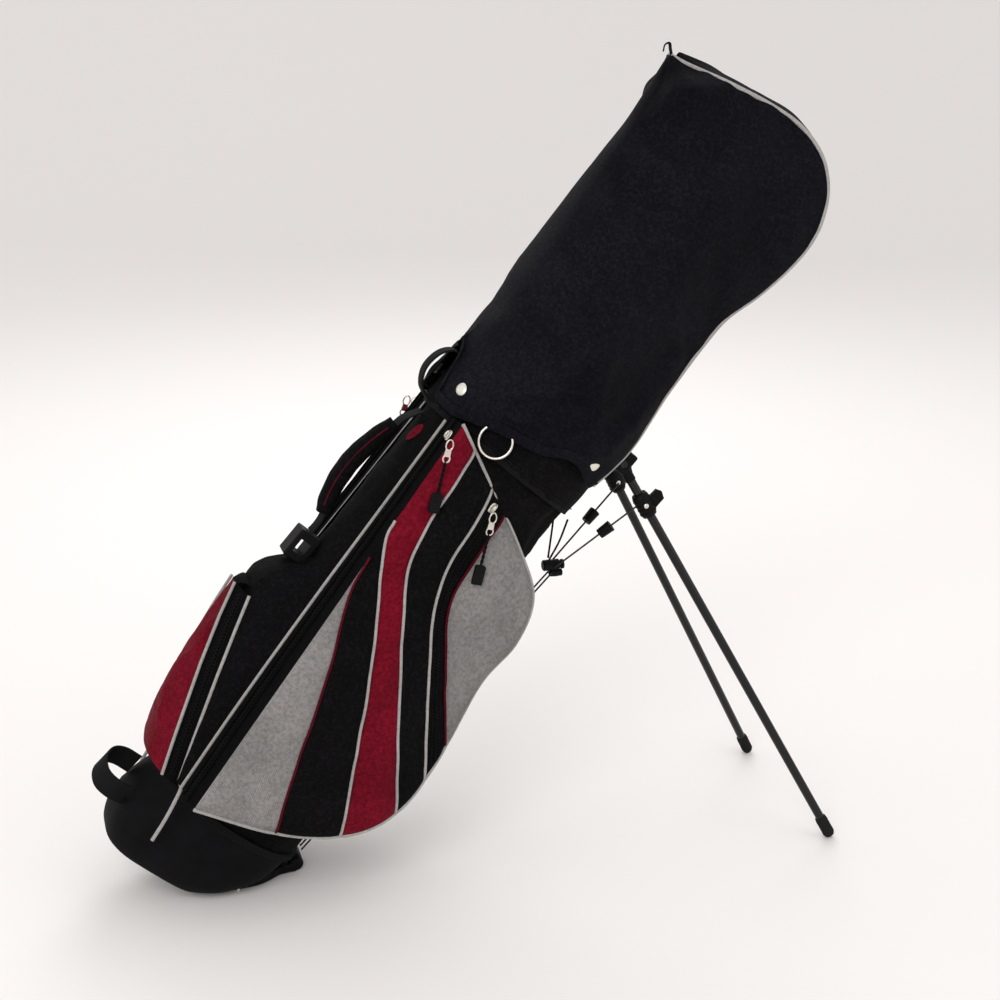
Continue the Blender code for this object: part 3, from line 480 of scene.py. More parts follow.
def soft_box(wide, thick, corner=None):
    """Outline of a flat strap or bar with rounded corners."""
    r = corner or min(wide, thick) * 0.35
    found = []
    for cx, cy, start in ((1, 1, 0), (-1, 1, 90), (-1, -1, 180), (1, -1, 270)):
        for step in (0, 30, 60, 90):
            turn = math.radians(start + step)
            found.append((cx * (wide / 2 - r) + r * math.cos(turn), cy * (thick / 2 - r)
                          + r * math.sin(turn)))
    return found


def piping(name, path, look="silver", radius=0.0017, body="bag", closed=False, step=0.004):
    count = max(int(length_of(path) / step), 4)
    return piece(name, swept(name, even(path, count), circle(radius, 8), closed), look, body)


def turned(name, centre, axis, profile, sides=32):
    """A turned solid: profile holds (distance along the axis, radius)."""
    turn = Vector(axis).to_track_quat("Z", "Y").to_matrix()
    rows = []
    for along, radius in profile:
        ring = []
        for i in range(sides):
            angle = 2 * math.pi * i / sides
            ring.append(Vector(centre) + turn @ Vector((radius * math.cos(angle), radius * math.sin(angle),
                                                        along)))
        rows.append(ring)
    return sheet_mesh(name, rows, closed=True, caps=True)


def spun(name, look, centre, axis, profile, sides=32, body="bag", stands_for=()):
    return piece(name, turned(name, centre, axis, profile, sides), look, body, stands_for)


def run_along(name, look, path, outline, closed=False, upward=ACROSS, body="bag", stands_for=()):
    return piece(name, swept(name, path, outline, closed, upward), look, body, stands_for)


def stitches(name, path, lift, look="thread", body="bag", pitch=0.0042, long=0.0026):
    """A row of small stitches along a path; lift is the direction off the cloth."""
    points = even(path, max(int(length_of(path) / pitch), 3))
    mesh = bmesh.new()
    for a, b in zip(points, points[1:]):
        along = (b - a).normalized()
        off = lift(a.lerp(b, 0.5)) if callable(lift) else lift
        side = along.cross(off).normalized() * 0.0004
        middle = a.lerp(b, 0.5)
        ends = [middle - along * long / 2, middle, middle + along * long / 2]
        heights = (-0.0001, 0.0005, -0.0001)
        rows = [[mesh.verts.new(BAG @ (end + side * k + off * height)) for k in (-1, 1)] for end,
                height in zip(ends, heights)]
        for low, high in zip(rows, rows[1:]):
            mesh.faces.new((low[0], low[1], high[1], high[0]))
    data = bpy.data.meshes.new(name)
    mesh.to_mesh(data)
    mesh.free()
    data.uv_layers.new(name="UVMap")
    return piece(name, data, look, body)


def zip_teeth(name, path, outward, body="bag", pitch=0.0024):
    """Two rows of interlocked teeth along a closed zip."""
    points = even(path, int(length_of(path) / pitch))
    mesh = bmesh.new()
    for i, (a, b) in enumerate(zip(points, points[1:])):
        along = (b - a).normalized()
        off = (outward(a) if callable(outward) else outward).normalized()
        side = along.cross(off).normalized() * (1 if i % 2 else -1)
        centre = a + side * 0.0009
        corners = []
        for k, reach, wide in ((0.0, 0.0018, 0.0009), (0.0011, 0.0014, 0.0006)):
            for x, z in ((-reach, -wide), (reach, -wide), (reach, wide), (-reach, wide)):
                corners.append(mesh.verts.new(BAG @ (centre + side * x + along * z + off * k)))
        mesh.faces.new(corners[4:])
        for k in range(4):
            mesh.faces.new((corners[k], corners[(k + 1) % 4], corners[4 + (k + 1) % 4], corners[4 + k]))
    data = bpy.data.meshes.new(name)
    mesh.to_mesh(data)
    mesh.free()
    return piece(name, data, "plastic", body)


def smooth(thing, levels=1):
    change = thing.modifiers.new("smooth", "SUBSURF")
    change.levels = levels
    change.render_levels = levels
    return thing


def thickened(thing, thickness, offset=-1.0):
    change = thing.modifiers.new("cloth", "SOLIDIFY")
    change.thickness = thickness
    change.offset = offset
    return thing


def settled(thing, held, pressure, most, frames=18, shrink=0.0, gravity=0.0):
    """Lets a piece of cloth puff and wrinkle between its held points, each moving no further than most."""
    before = [vert.co.copy() for vert in thing.data.vertices]
    group = thing.vertex_groups.new(name="held")
    for index, weight in enumerate(held):
        if weight > 0:
            group.add([index], weight, "REPLACE")
    change = thing.modifiers.new("settle", "CLOTH")
    cloth = change.settings
    cloth.quality = 4
    cloth.mass = 0.2
    cloth.vertex_group_mass = "held"
    cloth.pin_stiffness = 5.0
    cloth.tension_stiffness = cloth.compression_stiffness = 12.0
    cloth.shear_stiffness = 6.0
    cloth.bending_stiffness = 0.6
    cloth.shrink_min = cloth.shrink_max = shrink
    cloth.use_pressure = True
    cloth.uniform_pressure_force = pressure
    cloth.effector_weights.gravity = gravity
    change.collision_settings.use_collision = False
    scene = bpy.context.scene
    scene.frame_start, scene.frame_end = 1, frames
    change.point_cache.frame_end = frames
    for step in range(1, frames + 1):
        scene.frame_set(step)
    shape = thing.evaluated_get(bpy.context.evaluated_depsgraph_get()).data
    after = [vert.co.copy() for vert in shape.vertices]
    thing.modifiers.remove(change)
    for vert, old, new in zip(thing.data.vertices, before, after):
        move = new - old
        if move.length > most:
            move *= most / move.length
        vert.co = old + move
    scene.frame_set(1)
    thing.data.update()
    return thing


# ---------------------------------------------------------------- tube, collar and base
def tube_ring(height, grow=0.0, sides=96, table=TUBE):
    back, front, half = from_table(table, height)
    centre, reach = (back + front) / 2, (front - back) / 2 + grow
    ring = []
    for i in range(sides):
        turn = 2 * math.pi * i / sides
        ring.append(Vector((centre + reach * math.cos(turn), (half + grow) * math.sin(turn), height)))
    return ring


def tube_side(p, height, grow=0.0):
    """Distance of the tube's skin from the middle plane."""
    back, front, half = from_table(TUBE, height)
    share = (p - (back + front) / 2) / ((front - back) / 2 + grow)
    return (half + grow) * math.sqrt(max(1.0 - share * share, 0.0))


def make_tube():
    rows = []
    for k in range(85):
        height = 0.121 + (0.712 - 0.121) * k / 84
        ring = tube_ring(height)
        middle = Vector((0.04, 0.0, height))
        for point in ring:
            out = (point - middle).normalized()
            point += out * (ripple((point.x * 2, point.y * 2, point.z), 0.045, 0.0022, 1.0) - 0.0008)
            point += out * ripple((point.x, point.y, point.z * 2.2), 0.020, 0.0006, 5.0)
            pleat = eased(height, 0.56, 0.69) * eased(point.x, 0.02, 0.11) * 0.0022
            point += out * pleat * math.sin(17.0 * math.atan2(point.y, point.x - 0.035)
                                            + 5.0 * math.sin(height * 30.0))
        rows.append(ring)
    data = sheet_mesh("tube_skin", rows, closed=True)
    piece("tube_skin", data, "black", "bag", ["bag_tube"])
    inner = [tube_ring(height, -0.004) for height in (0.123, 0.45, 0.7995)]
    lofted("tube_lining", [ring[::-1] for ring in inner], "black", closed=True)
    rim = [tube_ring(0.7985, -0.0035), tube_ring(0.7995, -0.002), tube_ring(0.7985, 0.0)]
    lofted("tube_hem", rim, "binding", closed=True)


def make_collar():
    """The padded collar: crowned between its two sewn edges and one sewn channel."""
    rows = []
    for k in range(25):
        t = k / 24
        height = COLLAR_LOW + (COLLAR_TOP - COLLAR_LOW) * t
        crown = COLLAR_GROW * (0.55 + 0.45 * math.sqrt(max(math.sin(math.pi * min(max(t, 0.02), 0.98)), 0.0)))
        ring = tube_ring(height, crown)
        middle = Vector((0.035, 0.0, height))
        for point in ring:
            out = (point - middle).normalized()
            point += out * ripple((point.x * 1.5, point.y * 1.5, point.z * 0.6), 0.018, 0.0011, 9.0)
        rows.append(ring)
    rows = [tube_ring(COLLAR_LOW + 0.002, 0.0005)] + rows + [tube_ring(COLLAR_TOP - 0.001, 0.0008)]
    collar = lofted("collar_pad", rows, "black", "bag", ["collar_band"], closed=True)
    lower = tube_ring(COLLAR_LOW + 0.004, 0.0052, 140)
    data = swept("collar_binding", lower, soft_box(0.0016, 0.009), True, Vector((1.0, 0.0, 0.0)))
    piece("collar_binding", data, "binding")
    stitches("collar_stitches", tube_ring(COLLAR_LOW + 0.0105, 0.0082, 140), outward_of_tube)


def outward_of_tube(point):
    return Vector((point.x - 0.035, point.y * 1.3, 0.0)).normalized()


def on_floor(point):
    """Keeps a point of the base out of the floor and out of the foot lever's recess."""
    world = BAG @ Vector(point)
    in_recess = world.x > 0.111 + BAG_X and abs(world.y) < 0.0545 and world.x < -0.2
    if in_recess and world.z < 0.0151:
        world.z = 0.0151
    world.z = max(world.z, 0.0)
    return BAG.inverted() @ world


def squared(value, power):
    return math.copysign(abs(value) ** power, value)


def make_base():
    """The moulded boot: a squared cup with a raised rim, a moulded step and a flat contact patch."""
    table = [tuple(row) for row in bent(CUP, 8)]
    rows = []
    for height, back, front, half in table:
        grow = 0.0
        if height > 0.108:
            grow = 0.0012
        grow += 0.0011 * math.exp(-((height - 0.052) / 0.0025) ** 2)
        centre, reach = (back + front) / 2, (front - back) / 2 + grow
        power = from_table(CUP_POWER, height)[0]
        ring = []
        for i in range(128):
            turn = 2 * math.pi * i / 128
            ahead, aside = squared(math.cos(turn), power), squared(math.sin(turn), power)
            point = Vector((centre + reach * ahead, (half + grow) * aside, height))
            rib = 0.0005 * math.exp(-((math.sin(6 * turn)) / 0.10) ** 2) * (0.01 < height < 0.05)
            point += Vector((math.cos(turn), math.sin(turn), 0.0)) * rib
            ring.append(on_floor(point))
        rows.append(ring)
    cup = lofted("base_boot", rows, "base", "bag", ["base_cup"], closed=True, caps=True)
    cup.data.set_sharp_from_angle(angle=math.radians(50.0))
    rim = tube_ring(0.1150, 0.0022, 140)
    run_along("base_rim", "binding", rim, soft_box(0.0022, 0.011), True, Vector((1.0, 0.0, 0.0)))
    for height in (0.1115, 0.1185):
        stitches(f"base_rim_stitches_{round(height * 1e4)}", tube_ring(height, 0.0036, 140), outward_of_tube)
    inside = [tube_ring(0.1195, -0.004)[::-1], tube_ring(0.122, -0.004)[::-1]]
    lofted("base_inner_rim", inside, "base", closed=True)


# ---------------------------------------------------------------- side pockets
def coons(top, bottom, left, right, across, down):
    """A grid inside four edges that meet at their corners."""
    top, bottom = even(top, across), even(bottom, across)
    left, right = even(left, down), even(right, down)
    rows = []
    for r in range(down):
        v = r / (down - 1)
        row = []
        for c in range(across):
            u = c / (across - 1)
            edges = top[c] * (1 - v) + bottom[c] * v + left[r] * (1 - u) + right[r] * u
            corners = (top[0] * (1 - u) + top[-1] * u) * (1 - v) + (bottom[0] * (1 - u) + bottom[-1] * u) * v
            row.append(edges - corners)
        rows.append(row)
    return rows


def flat_line(points, steps=8):
    return [Vector((q.x, q.y)) for q in bent([Vector((p, s)) for p, s in points], steps)]


RIM = flat_line(POCKET_RIM)
LEFT = [Vector(POCKET_LEFT[0]).lerp(Vector(POCKET_LEFT[1]), k / 60) for k in range(61)]
SEAMS = {"dark": flat_line(DARK_SEAM), "red_left": flat_line(RED_LEFT), "red_right": flat_line(RED_RIGHT),
         "zip_upper": flat_line(ZIP_UPPER), "zip_lower": flat_line(ZIP_LOWER)}
OUTLINE = RIM + LEFT[::-1]


def away_from(line, point):
    best = 1.0
    for a, b in zip(line, line[1:]):
        run = b - a
        t = min(max((point - a).dot(run) / max(run.length_squared, 1e-12), 0.0), 1.0)
        best = min(best, (point - a - run * t).length)
    return best


def face_height(point):
    """How far the pocket's face stands from the middle plane: crowned, and pulled in at rim and seams."""
    rim = away_from(OUTLINE, point)
    seam = min(away_from(line, point) for line in SEAMS.values())
    depth = face_depth(point.y) - 0.0085 * math.exp(-rim / 0.006)
    depth += 0.0075 * eased(rim, 0.0, 0.085) * eased(point.y, 0.10, 0.35)
    depth -= 0.0022 * math.exp(-seam / 0.0045)
    depth += ripple((point.x * 1.6, 0.0, point.y), 0.050, 0.0042, 2.0) * eased(rim, 0.0, 0.03)
    return depth + ripple((point.x, 0.0, point.y * 0.5), 0.018, 0.0019, 7.0) * eased(rim, 0.0, 0.02)


def on_face(point, side, lift=0.0):
    return Vector((point.x, side * (face_height(point) + lift), point.y))


def face_line(line, side, lift=0.0, step=0.006):
    return [on_face(Vector((q.x, q.y)), side, lift) for q in even(line, max(int(length_of(line) / step), 4))]


def face_panels():
    """Each panel of the face: its look, and its top, bottom, left and right edges."""
    dark, red_left, red_right = SEAMS["dark"], SEAMS["red_left"], SEAMS["red_right"]
    upper, lower = SEAMS["zip_upper"], SEAMS["zip_lower"]
    apex, corner = LEFT[0], LEFT[-1]
    rim = lambda a, b: stretch(RIM, a, b)
    left = lambda a, b: stretch(LEFT, a, b)
    point = lambda q: [q, q]
    return (
        ("triangle", "grey", point(dark[0]), rim(corner, dark[-1]), left(dark[0], corner), dark),
        ("lower_black", "black", left(dark[0], red_left[0]), rim(dark[-1], red_left[-1]), dark, red_left),
        ("stripe", "red", rim(apex, red_right[0]), rim(red_left[-1], red_right[-1]),
         left(apex, red_left[0]) + red_left[1:], red_right),
        ("upper_black", "black", rim(red_right[0], upper[0]), rim(red_right[-1], upper[-1]), red_right,
         upper),
        ("zip_band", "band", rim(upper[0], lower[0]), rim(upper[-1], lower[-1]), upper, lower),
        ("outer", "grey", point(lower[0]), point(lower[-1]), lower, rim(lower[0], lower[-1])),
    )


def make_side_pocket(name, side):
    for label, look, top, bottom, left, right in face_panels():
        wide = max(length_of(top), length_of(bottom), (left[len(left) // 2] - right[len(right) // 2]).length)
        across = max(int(wide / 0.0045), 6)
        down = max(int(max(length_of(left), length_of(right)) / 0.0055), 8)
        flat = coons(top, bottom, left, right, across, down)
        puffed = side == NEAR and label == "outer"
        rows = []
        for r, row in enumerate(flat):
            found = []
            for c, q in enumerate(row):
                u, v = c / (across - 1), r / (down - 1)
                crown = math.sqrt(max(math.sin(math.pi * u) * math.sin(math.pi * v), 0.0))
                found.append(on_face(q, side, (0.0105 if puffed else 0.0012) * crown))
            rows.append(found if side == NEAR else found[::-1])
        panel = lofted(f"pocket_{name}_{label}", rows, look)
        held = [float(r in (0, down - 1) or c in (0, across - 1)) for r in range(down) for c in range(across)]
        settled(panel, held, (0.5 if side == FAR else -0.5) * (1.0 if puffed else 0.6), 0.004, 12, -0.012)
        smooth(panel)
        if puffed:
            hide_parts("valuables_pocket")
        if label == "stripe":
            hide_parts("side_pocket_" + name)
    make_pocket_wall(name, side)
    make_pocket_trim(name, side)


def make_pocket_wall(name, side):
    """The dark gusset between the face's rim and the tube."""
    rim = even(RIM, 190)
    rows = []
    for k in range(12):
        t = k / 11
        row = []
        for q in rim:
            outer = face_height(q)
            inner = 0.046 + 0.020 * eased(q.x, 0.08, 0.13)
            inner = min(max(inner, tube_side(q.x, q.y) - 0.004), outer - 0.004)
            depth = outer + (inner - outer) * t
            puff = 0.0035 * math.sin(math.pi * t)
            middle = (q - Vector((0.06, 0.40))).normalized()
            fold = ripple((q.x * 2, t * 0.05, q.y), 0.030, 0.0022, 4.0) * math.sin(math.pi * t)
            edge = q + middle * (puff + fold - 0.0016 * t)
            row.append(Vector((edge.x, side * depth, edge.y)))
        rows.append(row if side == FAR else row[::-1])
    wall = smooth(lofted(f"pocket_{name}_gusset", rows, "black"))


def make_pocket_trim(name, side):
    trims = (("rim", RIM, "silver", 0.0025), ("dark", SEAMS["dark"], "dark_red", 0.0017),
             ("red_left", SEAMS["red_left"], "silver", 0.0020),
             ("red_right", SEAMS["red_right"], "silver", 0.0020),
             ("zip_upper", SEAMS["zip_upper"], "silver", 0.0020),
             ("zip_lower", SEAMS["zip_lower"], "dark_red", 0.0017))
    for label, line, look, radius in trims:
        lift = 0.0004 if label == "rim" else 0.0012
        path = face_line(line, side, lift, 0.005)
        piping(f"piping_{name}_{label}", path, look, radius)
        if label != "rim":
            beside = [q + Vector((0.0042, 0.0, 0.0016)) for q in face_line(line[3:-3], side, 0.0010, 0.005)]
            stitches(f"stitches_{name}_{label}", beside, face_outward(side))
    upper, lower = even(SEAMS["zip_upper"], 60), even(SEAMS["zip_lower"], 60)
    middle = [a.lerp(b, 0.5) for a, b in zip(upper, lower)]
    if side == NEAR:
        teeth = face_line(middle, side, 0.0012, 0.005)
        zip_teeth("valuables_zip_teeth", teeth, face_outward(side))
        for label, share in (("upper", 0.30), ("lower", 0.70)):
            line = [a.lerp(b, share) for a, b in zip(upper, lower)]
            stitches(f"valuables_zip_{label}_stitches", face_line(line, side, 0.0010, 0.005),
                     face_outward(side))


def gusset_lines(side):
    """The main zip gusset's two edges: the piping on the tube, and the pocket face's left edge."""
    tube_line = even(bent([(p, side * y, s) for p, y, s in MAIN_PIPING], 10), 120)
    pocket_line = [on_face(Vector((q.x, q.y)), side) for q in even(LEFT, 120)]
    return tube_line, pocket_line


def make_main_gusset(name, side):
    tube_line, pocket_line = gusset_lines(side)
    rows = []
    for a, b in zip(tube_line, pocket_line):
        row = []
        for k in range(13):
            t = k / 12
            out = Vector((-1.0, 0.35 * side, 0.0)).normalized()
            crown = 0.0042 * math.sin(math.pi * t) + ripple((a.x, t * 0.1, a.z), 0.028, 0.0016,
                                                            6.0) * math.sin(math.pi * t)
            row.append(a.lerp(b, t) + out * crown)
        rows.append(row if side == FAR else row[::-1])
    gusset = smooth(lofted(f"main_zip_{name}_gusset", rows, "band"))
    for label, share in (("inner", 0.36), ("outer", 0.64)):
        line = [a.lerp(b, share) + Vector((-0.0050, 0.0018 * side, 0.0)) for a,
                b in zip(tube_line, pocket_line)]
        piping(f"main_zip_{name}_{label}_fold", line, "band", 0.0019, step=0.008)
    teeth = [a.lerp(b, 0.5) + Vector((-0.0042, 0.0016 * side, 0.0)) for a, b in zip(tube_line, pocket_line)]
    zip_teeth(f"main_zip_{name}_teeth", teeth, Vector((-1.0, 0.35 * side, 0.0)))
    tail = [tube_line[-1], Vector((-0.0440, 0.1060 * side, 0.092)), Vector((-0.0385, 0.1050 * side, 0.055))]
    spine_line = [q + Vector((-0.0012, 0.0008 * side, 0.0)) for q in tube_line] + bent(tail, 6)[1:]
    piping(f"piping_{name}_main", spine_line, "silver", 0.0025)


def tube_back(y, height):
    """How far back the tube's skin is at a distance from the middle plane."""
    back, front, half = from_table(TUBE, height)
    share = min(abs(y) / half, 1.0)
    return (back + front) / 2 - (front - back) / 2 * math.sqrt(1.0 - share * share)


def panel_start(height):
    """Where the plain cloth beside the ball pocket begins: its rear seam, then over its shoulder."""
    if height < SHOULDER[0][0]:
        wide, back = from_table(BALL, height)[:2]
        return back, wide
    return from_table(SHOULDER, height)


def make_spine_panel(name, side):
    """The plain cloth from the ball pocket's rear seam to the long piping; low down it stands off."""
    tube_line, _ = gusset_lines(side)
    rows = []
    for a in tube_line:
        back, wide = panel_start(a.z)
        row = []
        for k in range(14):
            t = k / 13
            y = wide + (abs(a.y) - wide) * t
            fold = ripple((a.x * 2, t * 0.06, a.z), 0.032, 0.0030, 3.0) * math.sin(math.pi * t)
            line = back + (a.x - back) * t - (0.0060 * eased(a.z, 0.50, 0.40)
                                              + 0.0008) * math.sin(math.pi * t) - fold
            on_tube = tube_back(y, a.z) - 0.0010 - 0.5 * abs(fold)
            row.append(Vector((min(line, on_tube) if a.z < 0.46 else on_tube, side * y, a.z)))
        rows.append(row if side == NEAR else row[::-1])
    panel = smooth(lofted(f"spine_panel_{name}", rows[::-1], "black"))


# ---------------------------------------------------------------- ball pocket
def ball_at(height):
    return from_table(BALL, height)


def make_ball_pocket():
    rows = []
    for k in range(70):
        height = BALL[0][0] + (BALL[-1][0] - BALL[0][0]) * k / 69
        _, _, half, edge, crown = ball_at(height)
        row = []
        for c in range(31):
            u = 2 * c / 30 - 1
            bulge = (1 - abs(u) ** 2.6) * (crown - edge - 0.004 * math.sin(math.pi * k / 69))
            p = edge + bulge + ripple((0.0, u * half * 1.4, height), 0.040, 0.0018, 8.0) * (1 - u * u)
            row.append(Vector((p, half * u, height)))
        rows.append(row)
    top = rows[-1]
    for step in (0.004, 0.009):
        rows.append([Vector((q.x + step * 1.4, q.y * (1 - step * 8), q.z + step * 0.8)) for q in top])
    face = lofted("ball_pocket_face", [row[::-1] for row in rows], "red", "bag", ["ball_pocket"])
    count = len(rows[0])
    held = [float(r in (0, len(rows) - 1) or c in (0, count - 1)) for r in range(len(rows))
            for c in range(count)]
    settled(face, held, -0.6, 0.005, 14, -0.015)
    smooth(face)
    for name, side in PAIR:
        make_ball_side(name, side)
    make_ball_top()


def ball_edges(side):
    front, rear = [], []
    for k in range(60):
        height = BALL[0][0] + (BALL[-1][0] - BALL[0][0]) * k / 59
        wide, back, half, edge, _ = ball_at(height)
        front.append(Vector((edge, side * half, height)))
        rear.append(Vector((back, side * wide, height)))
    return front, rear


def make_ball_side(name, side):
    front, rear = ball_edges(side)
    rows = []
    for a, b in zip(front, rear):
        row = []
        for k in range(9):
            t = k / 8
            out = Vector((-0.35, side, 0.0)).normalized()
            fold = ripple((a.x, t * 0.06, a.z), 0.024, 0.0014, 11.0)
            row.append(a.lerp(b, t) + out * math.sin(math.pi * t) * (0.0030 + fold))
        rows.append(row if side == NEAR else row[::-1])
    smooth(lofted(f"ball_gusset_{name}", rows, "band"))
    inner = []
    for a in rear:
        depth = max(tube_side(a.x + 0.030, a.z) - 0.004, 0.02)
        inner.append(Vector((a.x + 0.030, side * min(depth, abs(a.y) + 0.004), a.z)))
    back_rows = []
    for a, b in zip(rear, inner):
        row = [a.lerp(b, k / 4) + Vector((0.0, side * 0.0015 * math.sin(math.pi * k / 4), 0.0))
               for k in range(5)]
        back_rows.append(row if side == NEAR else row[::-1])
    smooth(lofted(f"ball_rear_{name}", back_rows, "black"))
    lift = Vector((-0.0012, side * 0.0014, 0.0))
    edge_lift = Vector((-0.0022, side * 0.0026, 0.0))
    piping(f"piping_ball_face_{name}", [q + edge_lift for q in front], "silver", 0.0022)
    hook = [Vector((p, side * y, s)) for p, y, s in ((-0.0415, 0.0800, 0.124), (-0.0380, 0.0815, 0.1265),
                                                     (-0.0400, 0.0800, 0.1320))]
    piping(f"piping_ball_rear_{name}", hook[::-1] + [q + lift for q in rear[2:]], "silver", 0.0022)
    teeth = [a.lerp(b, 0.45) + Vector((-0.0012, side * 0.0042, 0.0)) for a, b in zip(front, rear)]
    zip_teeth(f"ball_zip_teeth_{name}", teeth[2:-1], Vector((-0.35, side, 0.0)))
    for share in (0.28, 0.62):
        line = [a.lerp(b, share) + Vector((-0.0008, side * 0.0034, 0.0)) for a, b in zip(front, rear)]
        stitches(f"ball_zip_stitches_{name}_{round(share * 100)}", line[2:-1], Vector((-0.35, side, 0.0)))


def make_ball_top():
    """The pocket's dark top, and the puffed shoulder over it that slopes back to the tube."""
    _, _, half, edge, crown = ball_at(BALL[-1][0])
    rows = []
    for k in range(8):
        t = k / 7
        wide = half + (SHOULDER[1][2] - half) * t
        p = edge + (SHOULDER[1][1] - edge) * t
        s = BALL[-1][0] + (SHOULDER[1][0] - BALL[-1][0]) * t + 0.0045 * math.sin(math.pi * t)
        rows.append([Vector((p + (crown - edge) * (1 - t) * (1 - u * u), wide * u, s - 0.0020 * u * u))
                     for u in [2 * c / 14 - 1 for c in range(15)]])
    smooth(lofted("ball_pocket_top", [row[::-1] for row in rows], "band"))
    rows = []
    for k in range(26):
        height = SHOULDER[0][0] + (SHOULDER[-1][0] - SHOULDER[0][0]) * k / 25
        p, wide = from_table(SHOULDER, height)
        row = []
        for c in range(15):
            u = 2 * c / 14 - 1
            bulge = 0.0040 * (1 - u * u) * eased(height, 0.460, 0.430) + ripple((u * 0.06, p, height), 0.02,
                                                                                0.0012, 12.0)
            row.append(Vector((p - bulge, wide * u, height)))
        rows.append(row[::-1])
    shoulder = smooth(lofted("ball_pocket_shoulder", rows, "black"))


# ---------------------------------------------------------------- hood
HOOD_ROWS, HOOD_LOW_ROWS, HOOD_COLUMNS = 74, 14, 45
HOOD_START = 0.870
HOOD_FOLDS = (
    ((-0.085, 0.765), (0.030, 0.860), 0.009, 0.0060), ((-0.080, 0.752), (0.050, 0.800), 0.007, 0.0045),
    ((-0.110, 0.905), (-0.015, 0.860), 0.010, -0.0070), ((-0.105, 0.935), (0.060, 0.995), 0.013, 0.0080),
    ((-0.108, 0.975), (0.020, 0.985), 0.010, -0.0060), ((-0.118, 1.060), (0.030, 1.010), 0.014, 0.0085),
    ((-0.118, 1.095), (0.010, 1.090), 0.012, -0.0075), ((-0.120, 1.120), (0.030, 1.170), 0.015, 0.0095),
    ((-0.120, 1.160), (-0.020, 1.150), 0.010, -0.0060), ((-0.115, 1.205), (0.070, 1.235), 0.014, 0.0065),
    ((0.090, 0.795), (0.020, 0.900), 0.010, 0.0060), ((0.100, 0.800), (0.130, 0.930), 0.008, 0.0040),
    ((0.000, 0.775), (0.010, 0.880), 0.010, -0.0050), ((0.050, 0.790), (0.075, 0.870), 0.008, 0.0045),
    ((0.020, 1.230), (0.135, 1.120), 0.018, -0.0070), ((0.060, 1.260), (0.150, 1.180), 0.012, 0.0045),
    ((0.125, 0.950), (0.020, 1.050), 0.016, 0.0060), ((0.120, 1.020), (0.060, 1.120), 0.014, -0.0050),
)


def hood_half(height):
    """Greatest half width of the hood at a height."""
    table = ((0.72, 0.1215), (0.80, 0.1205), (0.87, 0.1180), (0.95, 0.1110), (1.05, 0.1030), (1.15, 0.0950),
             (1.22, 0.0810), (1.27, 0.0620), (1.31, 0.0400))
    return from_table(table, height)[0]


def pipe_half(height):
    table = ((0.76, 0.0850), (0.80, 0.0780), (0.87, 0.0680), (1.00, 0.0640), (1.20, 0.0560), (1.27, 0.0440),
             (1.31, 0.034))
    return from_table(table, height)[0]


def hood_hem(share):
    """Height of the hem, from the spine (0) round to the front piping (1)."""
    table = ((0.0, 0.8030), (0.024, 0.8030), (0.046, 0.7300), (0.127, 0.7270), (0.323, 0.7470),
             (0.589, 0.7600), (0.703, 0.7780), (0.80, 0.7800), (0.93, 0.7700), (1.0, 0.7660))
    return from_table(table, share)[0]


def hood_point(share, back, front, height_for_width, side):
    """A point of one side of the hood on the line from its spine to its front piping."""
    wide, edge = hood_half(height_for_width), pipe_half(height_for_width)
    turn = min(share / 0.42, 1.0)
    depth = wide * math.sqrt(max(1.0 - (1.0 - turn) ** 2.2, 0.0))
    if share > 0.42:
        depth = wide + (edge - wide) * eased(share, 0.42, 1.16) / eased(1.0, 0.42, 1.16)
    flat = Vector(back).lerp(Vector(front), share)
    oval = 0.1225 * math.sqrt(max(1.0 - ((flat.x - 0.0375) / 0.1410) ** 2, 0.0))
    depth = oval + (depth - oval) * eased(flat.y, 0.815, 0.930)
    point = Vector((flat.x, side * depth, flat.y))
    fade = eased(share, 0.0, 0.10) * eased(share, 1.0, 0.86)
    push = 0.0
    for start, end, wide_fold, high in HOOD_FOLDS:
        a, b = Vector(start), Vector(end)
        run = b - a
        t = (flat - a).dot(run) / run.length_squared
        off = (flat - a - run * min(max(t, 0.0), 1.0)).length
        push += high * math.exp(-(off / wide_fold) ** 2) * eased(t, -0.25, 0.2) * eased(t, 1.35, 0.7)
    push += ripple((flat.x * 1.3, side, flat.y), 0.075, 0.0050, 13.0 + side)
    push += ripple((flat.x + flat.y, side, flat.y * 0.6), 0.026, 0.0026, 17.0 + side)
    outward = Vector((-0.3 * (1 - share), side, 0.0)).normalized()
    return point + outward * push * fade


def hood_front_low(height):
    """Where the front piping runs below the gusset, round the outside of the collar."""
    table = ((0.760, 0.1275), (0.790, 0.1375), (0.820, 0.1445), (0.845, 0.1445), (0.870, 0.1430))
    return from_table(table, height)[0]


